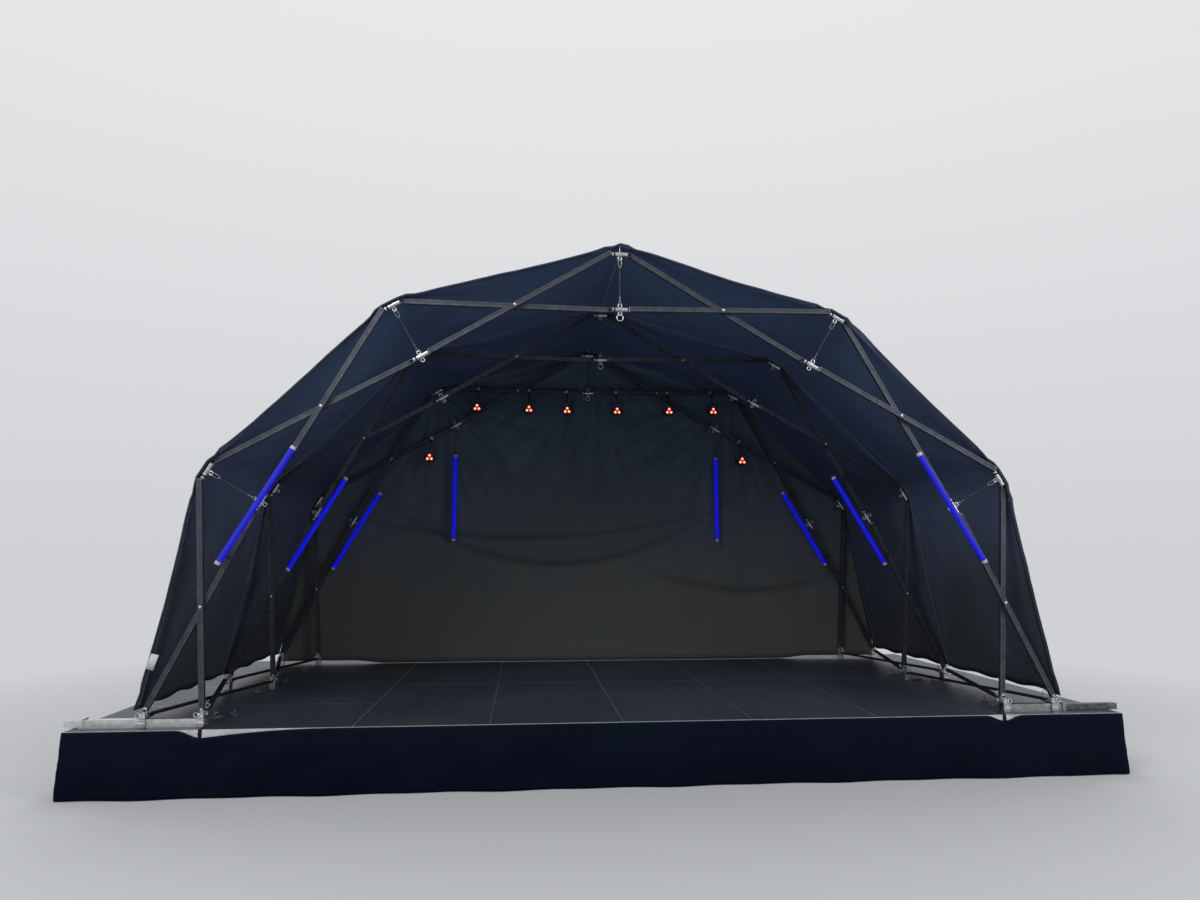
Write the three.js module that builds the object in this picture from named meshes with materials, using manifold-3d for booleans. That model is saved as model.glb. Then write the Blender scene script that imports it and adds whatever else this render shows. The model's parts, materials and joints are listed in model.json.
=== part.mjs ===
// Arched roof stage: a low deck with a skirt, three scissor arches under a cloth cover, and stage lights.
// Millimetres, +Z up, +X to the right of the audience, +Y away from it.
// The origin is on the ground, under the middle of the stage.

import * as THREE from 'three';
import { mergeVertices } from 'three/addons/utils/BufferGeometryUtils.js';
import Module from 'manifold-3d';

const wasm = await Module();
wasm.setup();

// Fits shared by all pieces
const clearance = 0.3;
const overrun = 5;
const weld = 0.0005;

// Deck
const deckWidth = 8000;
const deckDepth = 4000;
const deckHeight = 470;
const moduleCount = 4;
const boardThickness = 18;
const boardClearance = 0.5;
const seamWidth = 6;
const seamDepth = 4;
const seamStep = 1;
const frameHeight = 90;
const frameWall = 40;
const rimWall = 4;
const joistWall = 30;
const joistCount = 1;
const legSection = 34;
const legRows = 3;

// Deck skirt
const skirtThickness = 6;
const skirtFoldDepth = 16;
const skirtFoldPitch = 640;
const skirtTopDrop = 4;
const skirtSag = 55;
const skirtSagReach = 520;
const skirtHemRise = 6;
const skirtColumnsFront = 42;
const skirtColumnsSide = 9;
const skirtRows = 3;

// Arches
const archCount = 3;
const archSpacing = 1715;
const archFrontInset = 140;
const unitCount = 6;
const unitAngle = Math.PI / unitCount;
const archCentreRise = 46;
const innerRadius = 3202;
const archDepth = 474;
const outerFootX = 3514;
const innerFootX = 3105;
const footPinRise = 122;

// Scissor bars
const barWidth = 42;
const barDepth = 30;
const barOverhang = 12;
const grooveWidth = 16;
const grooveDepth = 3;

// Hubs and pins
const hubRadius = 20;
const hubLength = 130;
const hubPinOffset = 88;
const hubSides = 8;
const plainHubSides = 6;
const lugHeight = 40;
const lugReach = 102;
const lugThickness = 7.4;
const pinRadius = 7;
const pinHeadRadius = 11;
const pinHeadThickness = 4;
const pinSides = 6;
const spacerRadius = 16;
const eyeReach = 34;
const eyeRadius = 19;
const eyeHoleRadius = 10;
const eyeThickness = 8;
const eyeSegments = 3;

// Tension cables
const wireRadius = 3;
const wireSides = 6;
const linkSegments = 1;
const hookLength = 70;
const hookWidth = 28;
const hookBar = 6;
const thimbleLength = 44;

// Base beams with telescopic ends
const beamWidth = 62;
const beamHeight = 58;
const beamWall = 4;
const beamInnerX = 3078;
const leftBeamLength = 872;
const rightBeamLength = 532;
const extensionClearance = 0.8;
const extensionInset = 277;
const extensionOverhang = 55;
const extensionWall = 4;
const clampWidth = 30;
const clampWall = 10;

// Arch feet
const footLength = 60;
const footDepth = 96;
const footHeight = 74;
const footLugWidth = 44;
const tabLength = 62;
const tabThickness = 8;
const tabTopRise = 68;
const studRadius = 9;
const studHeight = 54;

// Floor braces
const braceWidth = 36;
const braceThickness = 20;
const braceStep = 24;
const braceEyeRadius = 24;

// Roof cover and back wall
const clothThickness = 8;
const coverStandoff = 30.6;
const coverFlatReach = 75;
const coverPeakRise = 50;
const coverHemRise = 96;
const coverHemOut = 62;
const coverFrontReach = 34;
const coverRearReach = 96;
const facetSag = 14;
const baySag = 38;
const hemWave = 12;
const hemWaveCount = 7;
const facetSteps = 3;
const baySteps = 4;
const wallFoldDepth = 34;
const wallFoldCount = 16;
const wallFade = 420;
const wallHemRise = 70;
const wallRowsPerBand = 3;
const wallColumns = 26;

// LED tubes
const tubeRadius = 20;
const tubeSides = 8;
const tubeLength = 1035;
const tubeGap = 16;
const tubeBracketReach = 440;
const tubeBracketLength = 30;
const tubeBracketWidth = 24;
const leftTubeInsets = [0, 65, 100];
const rightTubeInsets = [50, 120, 115];
const leftTubeDrops = [25, 70, 65];
const rightTubeDrops = [-15, -20, 5];
const uprightTubeDrop = 360;
const hangerRadius = 4;
const hangerHubs = [2, 4];

// Lamps on the rear arch
const lampTopOffsets = [-1344, -723, -262, 348, 990, 1540];
const lampSideOffset = 1890;
const lampDrop = 256;
const lampForward = 112;
const lampRadius = 54;
const lampFrontLength = 66;
const lampRearLength = 58;
const lampSides = 8;
const lensRadius = 21;
const lensOffset = 26;
const lensProud = 6;
const lensCount = 3;
const lampPinRadius = 7;
const knobRadius = 14;
const knobLength = 12;
const yokeGap = 9;
const yokeThickness = 5;
const yokeWidth = 26;
const yokeTopRise = 106;
const yokeFootDrop = 18;
const clampArmHeight = 26;
const clampArmWidth = 34;
const lampStudRadius = 9;

// Values worked out from the sizes above
const moduleWidth = deckWidth / moduleCount;
const outerRadius = innerRadius + archDepth;
const extensionReachX = deckWidth / 2 + extensionOverhang;
const layerInner = lugThickness / 2 + clearance;
const layerOuter = layerInner + barDepth;
const layerCentre = layerInner + barDepth / 2;
const frontArchY = -deckDepth / 2 + archFrontInset;
const yAxis = new THREE.Vector3(0, 1, 0);

function finish(colour, roughness, metalness) {
  return new THREE.MeshStandardMaterial({ color: colour, roughness, metalness });
}

const paints = {
  board: () => finish(0x1d1f22, 0.5, 0),
  frame: () => finish(0xb9bcbe, 0.4, 0.9),
  cloth: () => finish(0x0d1014, 0.9, 0),
  bar: () => finish(0x54575c, 0.45, 0.8),
  silver: () => finish(0xc9cccf, 0.3, 0.95),
  brace: () => finish(0x15161a, 0.5, 0.2),
  tube: () => finish(0x1016f0, 0.3, 0),
  lamp: () => finish(0x141416, 0.5, 0.1),
};

// A closed mesh as a solid, for joining and cutting.
function toSolid(geometry) {
  const bare = geometry.clone();
  bare.deleteAttribute('normal');
  bare.deleteAttribute('uv');
  const merged = mergeVertices(bare, weld);
  return new wasm.Manifold(new wasm.Mesh({
    numProp: 3,
    vertProperties: new Float32Array(merged.attributes.position.array),
    triVerts: new Uint32Array(merged.index.array),
  }));
}

function toGeometry(solid) {
  const mesh = solid.getMesh();
  const geometry = new THREE.BufferGeometry();
  geometry.setAttribute('position', new THREE.BufferAttribute(new Float32Array(mesh.vertProperties), 3));
  geometry.setIndex(new THREE.BufferAttribute(new Uint32Array(mesh.triVerts), 1));
  geometry.computeVertexNormals();
  return geometry;
}

function joined(solids) {
  return solids.reduce((whole, piece) => whole.add(piece));
}

function piece(name, solid, material) {
  const mesh = new THREE.Mesh(toGeometry(solid), material);
  mesh.name = name;
  return mesh;
}

function moved(geometry, matrix) {
  geometry.applyMatrix4(matrix);
  return toSolid(geometry);
}

// A block between two opposite corners.
function block(low, high) {
  const size = high.map((value, i) => value - low[i]);
  const centre = high.map((value, i) => (value + low[i]) / 2);
  const geometry = new THREE.BoxGeometry(...size);
  geometry.translate(...centre);
  return toSolid(geometry);
}

// A round rod between two points.
function rod(from, to, radius, sides) {
  const start = new THREE.Vector3(...from);
  const along = new THREE.Vector3(...to).sub(start);
  const geometry = new THREE.CylinderGeometry(radius, radius, along.length(), sides);
  const turn = new THREE.Quaternion().setFromUnitVectors(yAxis, along.clone().normalize());
  const middle = start.addScaledVector(along, 1 / 2);
  return moved(geometry, new THREE.Matrix4().compose(middle, turn, new THREE.Vector3(1, 1, 1)));
}

// An outline drawn in X and Z, as thick along Y as given and centred on the plane y = 0.
function uprightPlate(shape, thickness, segments) {
  const geometry = new THREE.ExtrudeGeometry(shape, {
    depth: thickness, bevelEnabled: false, curveSegments: segments,
  });
  geometry.rotateX(Math.PI / 2);
  geometry.translate(0, thickness / 2, 0);
  return toSolid(geometry);
}

// An outline drawn in X and Y, standing on z = 0.
function flatPlate(shape, thickness, segments) {
  return toSolid(new THREE.ExtrudeGeometry(shape, {
    depth: thickness, bevelEnabled: false, curveSegments: segments,
  }));
}

// An oblong with round ends, its length along the first axis, from end centre to end centre.
function oblong(from, to, radius) {
  const shape = new THREE.Shape();
  shape.absarc(to, 0, radius, -Math.PI / 2, Math.PI / 2, false);
  shape.absarc(from, 0, radius, Math.PI / 2, 3 * Math.PI / 2, false);
  shape.closePath();
  return shape;
}

function ringShape(outer, inner) {
  const shape = new THREE.Shape();
  shape.absarc(0, 0, outer, 0, 2 * Math.PI, false);
  const hole = new THREE.Path();
  hole.absarc(0, 0, inner, 0, 2 * Math.PI, true);
  shape.holes.push(hole);
  return shape;
}

function spun(solid, angle, x, y, z) {
  const matrix = new THREE.Matrix4().makeRotationY(angle);
  matrix.setPosition(x, y, z);
  return solid.transform(matrix.toArray());
}

// Deck

function rectangle(x0, y0, x1, y1, kind) {
  const path = new kind();
  path.moveTo(x0, y0);
  path.lineTo(x1, y0);
  path.lineTo(x1, y1);
  path.lineTo(x0, y1);
  path.closePath();
  return path;
}

// The aluminium frame of one module: edge beams, joists across it, a thin rim round the boards, and legs.
function moduleFrame(index) {
  const x0 = -deckWidth / 2 + index * moduleWidth + clearance;
  const x1 = x0 + moduleWidth - 2 * clearance;
  const y0 = -deckDepth / 2;
  const y1 = deckDepth / 2;
  const top = deckHeight - boardThickness - clearance;
  const base = top - frameHeight;
  const grid = rectangle(x0, y0, x1, y1, THREE.Shape);
  const cell = (y1 - y0 - frameWall) / (joistCount + 1);
  for (let i = 0; i <= joistCount; i += 1) {
    const low = y0 + frameWall / 2 + i * cell;
    const margin = (i === 0 ? frameWall : joistWall) / 2;
    const rest = (i === joistCount ? frameWall : joistWall) / 2;
    grid.holes.push(rectangle(x0 + frameWall, low + margin, x1 - frameWall, low + cell - rest, THREE.Path));
  }
  const rim = rectangle(x0, y0, x1, y1, THREE.Shape);
  rim.holes.push(rectangle(x0 + rimWall, y0 + rimWall, x1 - rimWall, y1 - rimWall, THREE.Path));
  const solids = [
    flatPlate(grid, frameHeight, 1).translate([0, 0, base]),
    flatPlate(rim, deckHeight - top + rimWall, 1).translate([0, 0, top - rimWall]),
  ];
  for (const x of [x0 + frameWall / 2, x1 - frameWall / 2]) {
    for (let row = 0; row < legRows; row += 1) {
      const y = y0 + frameWall + (deckDepth - 2 * frameWall) * row / (legRows - 1);
      const leg = legSection / 2;
      solids.push(block([x - leg, y - leg, 0], [x + leg, y + leg, base + frameWall / 2]));
    }
  }
  return joined(solids);
}

// Boards of one module. Seams show where neighbouring panels meet.
function moduleBoard(index) {
  const inset = rimWall + boardClearance + clearance;
  const x0 = -deckWidth / 2 + index * moduleWidth + inset;
  const x1 = x0 + moduleWidth - 2 * inset;
  const y0 = -deckDepth / 2 + rimWall + boardClearance;
  const y1 = -y0;
  const base = deckHeight - boardThickness;
  let board = block([x0, y0, base], [x1, y1, deckHeight]);
  const floor = deckHeight - seamDepth;
  const above = deckHeight + overrun;
  const acrossShares = index === 0 ? [1 / 4, 1 / 2, 3 / 4] : [1 / 2];
  for (const share of acrossShares) {
    const y = (share - 1 / 2) * deckDepth;
    board = board.subtract(block(
      [x0 - overrun, y - seamWidth / 2, floor],
      [x1 + overrun, y + seamWidth / 2, above],
    ));
  }
  if (index > 0) {
    const x = (x0 + x1) / 2;
    board = board.subtract(block(
      [x - seamWidth / 2, y0 - overrun, floor + seamStep],
      [x + seamWidth / 2, y1 + overrun, above],
    ));
  }
  return board;
}

// A closed sheet between two grids of points with the same rows and columns.
// Triangles with no area, where a row draws in to one point, are left out.
function sheetBetween(front, back) {
  const points = [];
  const faces = [];
  const rows = front.length;
  const columns = front[0].length;
  const same = (a, b) => points[a].every((value, i) => Math.abs(value - points[b][i]) < weld);
  const triangle = (a, b, c) => {
    if (!same(a, b) && !same(b, c) && !same(c, a)) faces.push(a, b, c);
  };
  const quad = (a, b, c, d) => {
    triangle(a, b, c);
    triangle(a, c, d);
  };
  front.forEach((row) => points.push(...row));
  back.forEach((row) => points.push(...row));
  const at = (side, row, column) => side * rows * columns + row * columns + column;
  for (let r = 0; r < rows - 1; r += 1) {
    for (let c = 0; c < columns - 1; c += 1) {
      quad(at(0, r, c), at(0, r, c + 1), at(0, r + 1, c + 1), at(0, r + 1, c));
      quad(at(1, r, c), at(1, r + 1, c), at(1, r + 1, c + 1), at(1, r, c + 1));
    }
    const last = columns - 1;
    quad(at(0, r, 0), at(0, r + 1, 0), at(1, r + 1, 0), at(1, r, 0));
    quad(at(0, r, last), at(1, r, last), at(1, r + 1, last), at(0, r + 1, last));
  }
  for (let c = 0; c < columns - 1; c += 1) {
    const last = rows - 1;
    quad(at(0, 0, c), at(1, 0, c), at(1, 0, c + 1), at(0, 0, c + 1));
    quad(at(0, last, c), at(0, last, c + 1), at(1, last, c + 1), at(1, last, c));
  }
  const geometry = new THREE.BufferGeometry();
  geometry.setAttribute('position', new THREE.Float32BufferAttribute(points.flat(), 3));
  geometry.setIndex(faces);
  return mergeVertices(geometry, weld);
}

function clothPiece(name, front, back) {
  const geometry = sheetBetween(front, back);
  geometry.computeVertexNormals();
  const mesh = new THREE.Mesh(geometry, paints.cloth());
  mesh.name = name;
  return mesh;
}

// Skirt round the left side, the front and the right side, in shallow hanging folds.
function skirt() {
  const halfWidth = deckWidth / 2 + clearance;
  const front = deckDepth / 2 + clearance;
  const side = deckDepth + clearance;
  const path = [];
  const cornerShare = 1 / Math.SQRT2;
  for (let i = 0; i < skirtColumnsSide; i += 1) {
    const y = deckDepth / 2 - side * i / skirtColumnsSide;
    path.push({ x: -halfWidth, y, nx: -1, ny: 0, run: front - y });
  }
  path.push({ x: -halfWidth, y: -front, nx: -cornerShare, ny: -cornerShare, run: 0, corner: true });
  for (let i = 1; i < skirtColumnsFront; i += 1) {
    const x = -halfWidth + 2 * halfWidth * i / skirtColumnsFront;
    path.push({ x, y: -front, nx: 0, ny: -1, run: x + halfWidth });
  }
  path.push({ x: halfWidth, y: -front, nx: cornerShare, ny: -cornerShare, run: 0, corner: true });
  for (let i = 1; i <= skirtColumnsSide; i += 1) {
    const y = -front + side * i / skirtColumnsSide;
    path.push({ x: halfWidth, y, nx: 1, ny: 0, run: y + front });
  }
  const top = deckHeight - skirtTopDrop;
  const drop = (point) => {
    if (point.ny !== -1) return 0;
    const near = Math.min(Math.abs(point.x - innerFootX), Math.abs(point.x + innerFootX));
    return near < skirtSagReach ? skirtSag * (1 + Math.cos(Math.PI * near / skirtSagReach)) / 2 : 0;
  };
  const grid = (outward) => {
    const rows = [];
    for (let r = 0; r <= skirtRows; r += 1) {
      const share = r / skirtRows;
      rows.push(path.map((point) => {
        const head = top - drop(point);
        const z = head + (skirtHemRise - head) * share;
        const wave = Math.sin(2 * Math.PI * point.run / skirtFoldPitch + share);
        const second = Math.sin(Math.PI * point.run / skirtFoldPitch - 2 * share);
        const fold = point.corner ? 0 : skirtFoldDepth * share * (1 + (wave + second) / 2);
        const spread = point.corner ? outward / cornerShare : outward + fold;
        return [point.x + point.nx * spread, point.y + point.ny * spread, z];
      }));
    }
    return rows;
  };
  return clothPiece('deck_skirt', grid(0), grid(skirtThickness));
}

// Arch geometry, in the plane of one arch: X across, Z above the deck.

function hubAngle(index) {
  return (index - unitCount / 2) * unitAngle;
}

function isOuter(chain, index) {
  return (chain === 'p') === (index % 2 === 1);
}

function hubCentre(outer, index) {
  if (index === 0 || index === unitCount) {
    const side = index === 0 ? -1 : 1;
    return [side * (outer ? outerFootX : innerFootX), footPinRise];
  }
  const radius = outer ? outerRadius : innerRadius;
  const angle = hubAngle(index);
  return [radius * Math.sin(angle), archCentreRise + radius * Math.cos(angle)];
}

// The pin at one end of a bar: side -1 is before the hub and 1 is after it, going from left to right.
function pinPoint(chain, index, side) {
  const [x, z] = hubCentre(isOuter(chain, index), index);
  if (index === 0 || index === unitCount) return [x, z];
  const angle = hubAngle(index);
  return [x + side * hubPinOffset * Math.cos(angle), z - side * hubPinOffset * Math.sin(angle)];
}

// The layer that a bar lies in: -1 in front, 1 behind. It swaps from unit to unit.
function layerSide(chain, unit) {
  return (chain === 'p') === (unit % 2 === 1) ? -1 : 1;
}

function barEnds(chain, unit) {
  return [pinPoint(chain, unit - 1, 1), pinPoint(chain, unit, -1)];
}

function pivotPoint(unit) {
  const [[ax, az], [bx, bz]] = barEnds('p', unit);
  const [[cx, cz], [dx, dz]] = barEnds('q', unit);
  const cross = (bx - ax) * (dz - cz) - (bz - az) * (dx - cx);
  const share = ((cx - ax) * (dz - cz) - (cz - az) * (dx - cx)) / cross;
  return [ax + share * (bx - ax), az + share * (bz - az)];
}

// The grooved section of a bar: its depth first, its width second.
function barSection() {
  const depth = barDepth / 2;
  const width = barWidth / 2;
  const groove = grooveWidth / 2;
  const floor = depth - grooveDepth;
  const shape = new THREE.Shape();
  shape.moveTo(depth, -width);
  shape.lineTo(depth, -groove);
  shape.lineTo(floor, -groove);
  shape.lineTo(floor, groove);
  shape.lineTo(depth, groove);
  shape.lineTo(depth, width);
  shape.lineTo(-depth, width);
  shape.lineTo(-depth, groove);
  shape.lineTo(-floor, groove);
  shape.lineTo(-floor, -groove);
  shape.lineTo(-depth, -groove);
  shape.lineTo(-depth, -width);
  shape.closePath();
  return shape;
}

// A bar along its pins, in its own layer. A plain one has no grooves.
function barSolid(chain, unit, plain) {
  const [[ax, az], [bx, bz]] = barEnds(chain, unit);
  const angle = Math.atan2(bz - az, bx - ax);
  const length = Math.hypot(bx - ax, bz - az) + 2 * barOverhang;
  const geometry = plain
    ? new THREE.BoxGeometry(barDepth, barWidth, length).translate(0, 0, length / 2)
    : new THREE.ExtrudeGeometry(barSection(), { depth: length, bevelEnabled: false });
  const basis = new THREE.Matrix4().makeBasis(
    new THREE.Vector3(0, 1, 0),
    new THREE.Vector3(0, 0, 1),
    new THREE.Vector3(1, 0, 0),
  );
  geometry.applyMatrix4(basis);
  geometry.translate(-barOverhang, 0, 0);
  geometry.rotateY(-angle);
  geometry.translate(ax, layerSide(chain, unit) * layerCentre, az);
  return toSolid(geometry);
}

// A pin from the middle plane out through one layer, with its head on the outer face.
function pinSolid([x, z], side) {
  const face = side * (layerOuter + clearance);
  const tip = side * (layerOuter + clearance + pinHeadThickness);
  return joined([
    rod([x, 0, z], [x, (face + tip) / 2, z], pinRadius, pinSides),
    rod([x, face, z], [x, tip, z], pinHeadRadius, pinSides),
  ]);
}

// The hole for a pin, turned with the piece that the pin stands on.
function pinHole([x, z], angle) {
  const reach = layerOuter + overrun;
  return spun(rod([0, -reach, 0], [0, reach, 0], pinRadius + clearance, pinSides), angle, x, 0, z);
}

function endHole(chain, index, side) {
  const angle = index === 0 || index === unitCount ? 0 : hubAngle(index);
  return pinHole(pinPoint(chain, index, side), angle);
}

// The pin through a crossing, with a head on both sides and a spacer between the bars.
function pivotPin(unit) {
  const [x, z] = pivotPoint(unit);
  const half = lugThickness / 2;
  return joined([
    pinSolid([x, z], -1),
    pinSolid([x, z], 1),
    rod([x, -half, z], [x, half, z], spacerRadius, pinSides),
  ]);
}

// A pin without heads, out of the bar of chain p and through the bar of chain q.
function plainPivotPin(unit) {
  const [x, z] = pivotPoint(unit);
  const side = layerSide('p', unit);
  const tip = layerOuter + clearance + pinHeadThickness;
  return rod([x, side * layerCentre, z], [x, -side * tip, z], pinRadius, pinSides);
}

function eyePlate(reach) {
  const ring = uprightPlate(ringShape(eyeRadius, eyeHoleRadius), eyeThickness, eyeSegments);
  return ring.translate([0, 0, reach]);
}

// A hub: a short tube along the arch, a lug at each end with its pin, and eyes for hooks.
// A plain hub has no pin heads or eyes.
function hubSolid(chain, index, plain) {
  const eyes = !plain;
  const outer = isOuter(chain, index);
  const [x, z] = hubCentre(outer, index);
  const half = lugThickness / 2;
  const solids = [
    rod([-hubLength / 2, 0, 0], [hubLength / 2, 0, 0], hubRadius, plain ? plainHubSides : hubSides),
    block([-lugReach, -half, -lugHeight / 2], [lugReach, half, lugHeight / 2]),
  ];
  for (const side of [-1, 1]) {
    const layer = layerSide(chain, side < 0 ? index : index + 1);
    const pinX = side * hubPinOffset;
    solids.push(plain
      ? rod([pinX, 0, 0], [pinX, layer * layerCentre, 0], pinRadius, pinSides)
      : pinSolid([pinX, 0], layer));
  }
  const middle = index === unitCount / 2;
  if (eyes && (outer || middle)) solids.push(eyePlate(-eyeReach));
  if (eyes && !outer) solids.push(eyePlate(eyeReach));
  return spun(joined(solids), hubAngle(index), x, 0, z);
}

// The lower eye of an inner hub, that an upright tube hangs from.
function lowerEye(index) {
  const [x, z] = hubCentre(false, index);
  return spun(eyePlate(-eyeReach), hubAngle(index), x, 0, z);
}

// A bar of the front arch, with the hub at its far end. The pivot pin is on the bars of chain p.
function looseBar(chain, unit) {
  let solid = barSolid(chain, unit, false);
  solid = solid.subtract(endHole(chain, unit - 1, 1));
  if (unit === unitCount) {
    solid = solid.subtract(endHole(chain, unit, -1));
  } else {
    solid = solid.add(hubSolid(chain, unit, false));
  }
  if (chain === 'p') return solid.add(pivotPin(unit));
  return solid.subtract(pinHole(pivotPoint(unit), 0));
}

// A closed link in the plane of Y and Z, hanging down from z = 0.
function link(length) {
  const radius = hookWidth / 2;
  const shape = oblong(radius, length - radius, radius);
  const hole = new THREE.Path();
  const inner = radius - hookBar;
  hole.absarc(length - radius, 0, inner, -Math.PI / 2, Math.PI / 2, false);
  hole.absarc(radius, 0, inner, Math.PI / 2, 3 * Math.PI / 2, false);
  hole.closePath();
  shape.holes.push(hole);
  const geometry = new THREE.ExtrudeGeometry(shape, {
    depth: hookBar, bevelEnabled: false, curveSegments: linkSegments,
  });
  geometry.translate(0, 0, -hookBar / 2);
  geometry.applyMatrix4(new THREE.Matrix4().makeBasis(
    new THREE.Vector3(0, 0, -1),
    new THREE.Vector3(0, 1, 0),
    new THREE.Vector3(1, 0, 0),
  ));
  return toSolid(geometry);
}

// The tension cable between an outer hub and its inner hub, along the hub line.
function cableSolid(index) {
  const holeFlat = eyeHoleRadius * Math.cos(Math.PI / (2 * eyeSegments));
  const start = eyeReach + holeFlat - clearance - hookBar - eyeThickness / 2;
  const span = outerRadius - innerRadius - 2 * start;
  const hookEnd = hookLength - hookBar / 2;
  const thimbleEnd = span - thimbleLength + hookBar / 2;
  const solids = [
    link(hookLength),
    link(thimbleLength).translate([0, 0, thimbleLength - span]),
    rod([0, 0, -hookEnd], [0, 0, -thimbleEnd], wireRadius, wireSides),
  ];
  const angle = hubAngle(index);
  const radius = outerRadius - start;
  return spun(
    joined(solids),
    angle,
    radius * Math.sin(angle),
    0,
    archCentreRise + radius * Math.cos(angle),
  );
}

// The cable of an arch whose chains are one piece each: it is fixed in its outer hub.
function fixedCable(index) {
  const angle = hubAngle(index);
  const span = outerRadius - innerRadius;
  const end = span - hubRadius - clearance;
  const solid = rod([0, 0, -hubRadius / 2], [0, 0, -end], wireRadius, wireSides);
  return spun(
    solid,
    angle,
    outerRadius * Math.sin(angle),
    0,
    archCentreRise + outerRadius * Math.cos(angle),
  );
}

// A foot: a block on the deck or over a base beam, a lug with the bar's pin, and tabs for the braces.
// A plain foot has no head on its pin.
function footSolid(chain, index, overBeam, tabSides, plain) {
  const [x, z] = pinPoint(chain, index, 1);
  const unit = index === 0 ? 1 : unitCount;
  const width = footLength / 2;
  const depth = footDepth / 2;
  let body = block([x - width, -depth, clearance], [x + width, depth, footHeight]);
  if (overBeam) {
    const room = beamWidth / 2 + clearance;
    body = body.subtract(block(
      [x - footLength, -room, -overrun],
      [x + footLength, room, clearance + beamHeight + clearance],
    ));
  }
  const lug = footLugWidth / 2;
  const half = lugThickness / 2;
  const layer = layerSide(chain, unit);
  const solids = [
    body,
    block([x - lug, -half, footHeight - overrun], [x + lug, half, z + lug]),
    plain ? rod([x, 0, z], [x, layer * layerCentre, z], pinRadius, pinSides) : pinSolid([x, z], layer),
  ];
  for (const side of tabSides) {
    const near = side * (depth - overrun);
    const far = side * (depth + tabLength);
    const studY = side * (depth + tabLength - braceEyeRadius);
    solids.push(block(
      [x - braceEyeRadius, Math.min(near, far), tabTopRise - tabThickness],
      [x + braceEyeRadius, Math.max(near, far), tabTopRise],
    ));
    solids.push(rod(
      [x, studY, tabTopRise - overrun],
      [x, studY, tabTopRise + studHeight],
      studRadius,
      pinSides,
    ));
  }
  return joined(solids);
}

// A whole chain of an arch, its bars, hubs, feet and the cables at its outer hubs in one.
function chainSolid(chain, tabSides) {
  const solids = [
    footSolid(chain, 0, false, tabSides, true),
    footSolid(chain, unitCount, false, tabSides, true),
  ];
  for (let unit = 1; unit <= unitCount; unit += 1) {
    let bar = barSolid(chain, unit, true);
    if (chain === 'q') bar = bar.subtract(pinHole(pivotPoint(unit), 0));
    solids.push(bar);
    if (chain === 'p') solids.push(plainPivotPin(unit));
  }
  for (let index = 1; index < unitCount; index += 1) {
    solids.push(hubSolid(chain, index, true));
    if (isOuter(chain, index)) solids.push(fixedCable(index));
  }
  return joined(solids);
}

// Base beams

function beamSolid(side) {
  const length = side < 0 ? leftBeamLength : rightBeamLength;
  const near = side * beamInnerX;
  const far = side * (beamInnerX + length);
  const half = beamWidth / 2;
  const low = Math.min(near, far);
  const high = Math.max(near, far);
  const tube = block([low, -half, clearance], [high, half, clearance + beamHeight]);
  return tube.subtract(block(
    [low - overrun, -half + beamWall, clearance + beamWall],
    [high + overrun, half - beamWall, clearance + beamHeight - beamWall],
  ));
}

function extensionSolid(side) {
  const far = side * extensionReachX;
  const near = side * (beamInnerX + extensionInset);
  const half = beamWidth / 2 - beamWall - extensionClearance;
  const base = clearance + beamWall + clearance;
  const top = clearance + beamHeight - beamWall - extensionClearance;
  const low = Math.min(near, far);
  const high = Math.max(near, far);
  const tube = block([low, -half, base], [high, half, top]);
  return tube.subtract(block(
    [low - overrun, -half + extensionWall, base + extensionWall],
    [high + overrun, half - extensionWall, top - extensionWall],
  ));
}

// The clamp round a beam's outer end, joined to the beam.
function beamClamp(side) {
  const length = side < 0 ? leftBeamLength : rightBeamLength;
  const x = side * (beamInnerX + length - clampWidth / 2);
  const half = clampWidth / 2;
  const wide = beamWidth / 2 + clampWall;
  const body = block([x - half, -wide, clearance], [x + half, wide, clearance + beamHeight + clampWall]);
  return body.subtract(block(
    [x - clampWidth, -beamWidth / 2 + beamWall, clearance + beamWall],
    [x + clampWidth, beamWidth / 2 - beamWall, clearance + beamHeight - beamWall],
  ));
}

// Floor braces: two flat bars that cross between the feet of neighbouring arches.
function braceSolid(side) {
  const inset = footDepth / 2 + tabLength - braceEyeRadius;
  const span = archSpacing - 2 * inset;
  const base = tabTopRise + clearance;
  const top = base + braceStep + braceThickness;
  const flat = (level, fromX, toX) => {
    const length = Math.hypot(toX - fromX, span);
    const half = braceWidth / 2;
    const bar = block([-half, -half, 0], [length + half, half, braceThickness]);
    const matrix = new THREE.Matrix4().makeRotationZ(Math.atan2(span, toX - fromX));
    matrix.setPosition(fromX, inset, level);
    return bar.transform(matrix.toArray());
  };
  const middleX = side * (outerFootX + innerFootX) / 2;
  const middleY = archSpacing / 2;
  const ends = [
    [innerFootX, inset],
    [outerFootX, inset],
    [innerFootX, inset + span],
    [outerFootX, inset + span],
  ];
  const solids = [
    flat(base, side * outerFootX, side * innerFootX),
    flat(base + braceStep, side * innerFootX, side * outerFootX),
    rod(
      [middleX, middleY, base + braceThickness / 2],
      [middleX, middleY, top - braceThickness / 2],
      braceWidth / 3,
      pinSides,
    ),
  ];
  return ends.reduce((solid, [x, y]) => solid.subtract(rod(
    [side * x, y, base - overrun],
    [side * x, y, top + overrun],
    studRadius + clearance,
    pinSides,
  )), joined(solids));
}

// Roof cover

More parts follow.
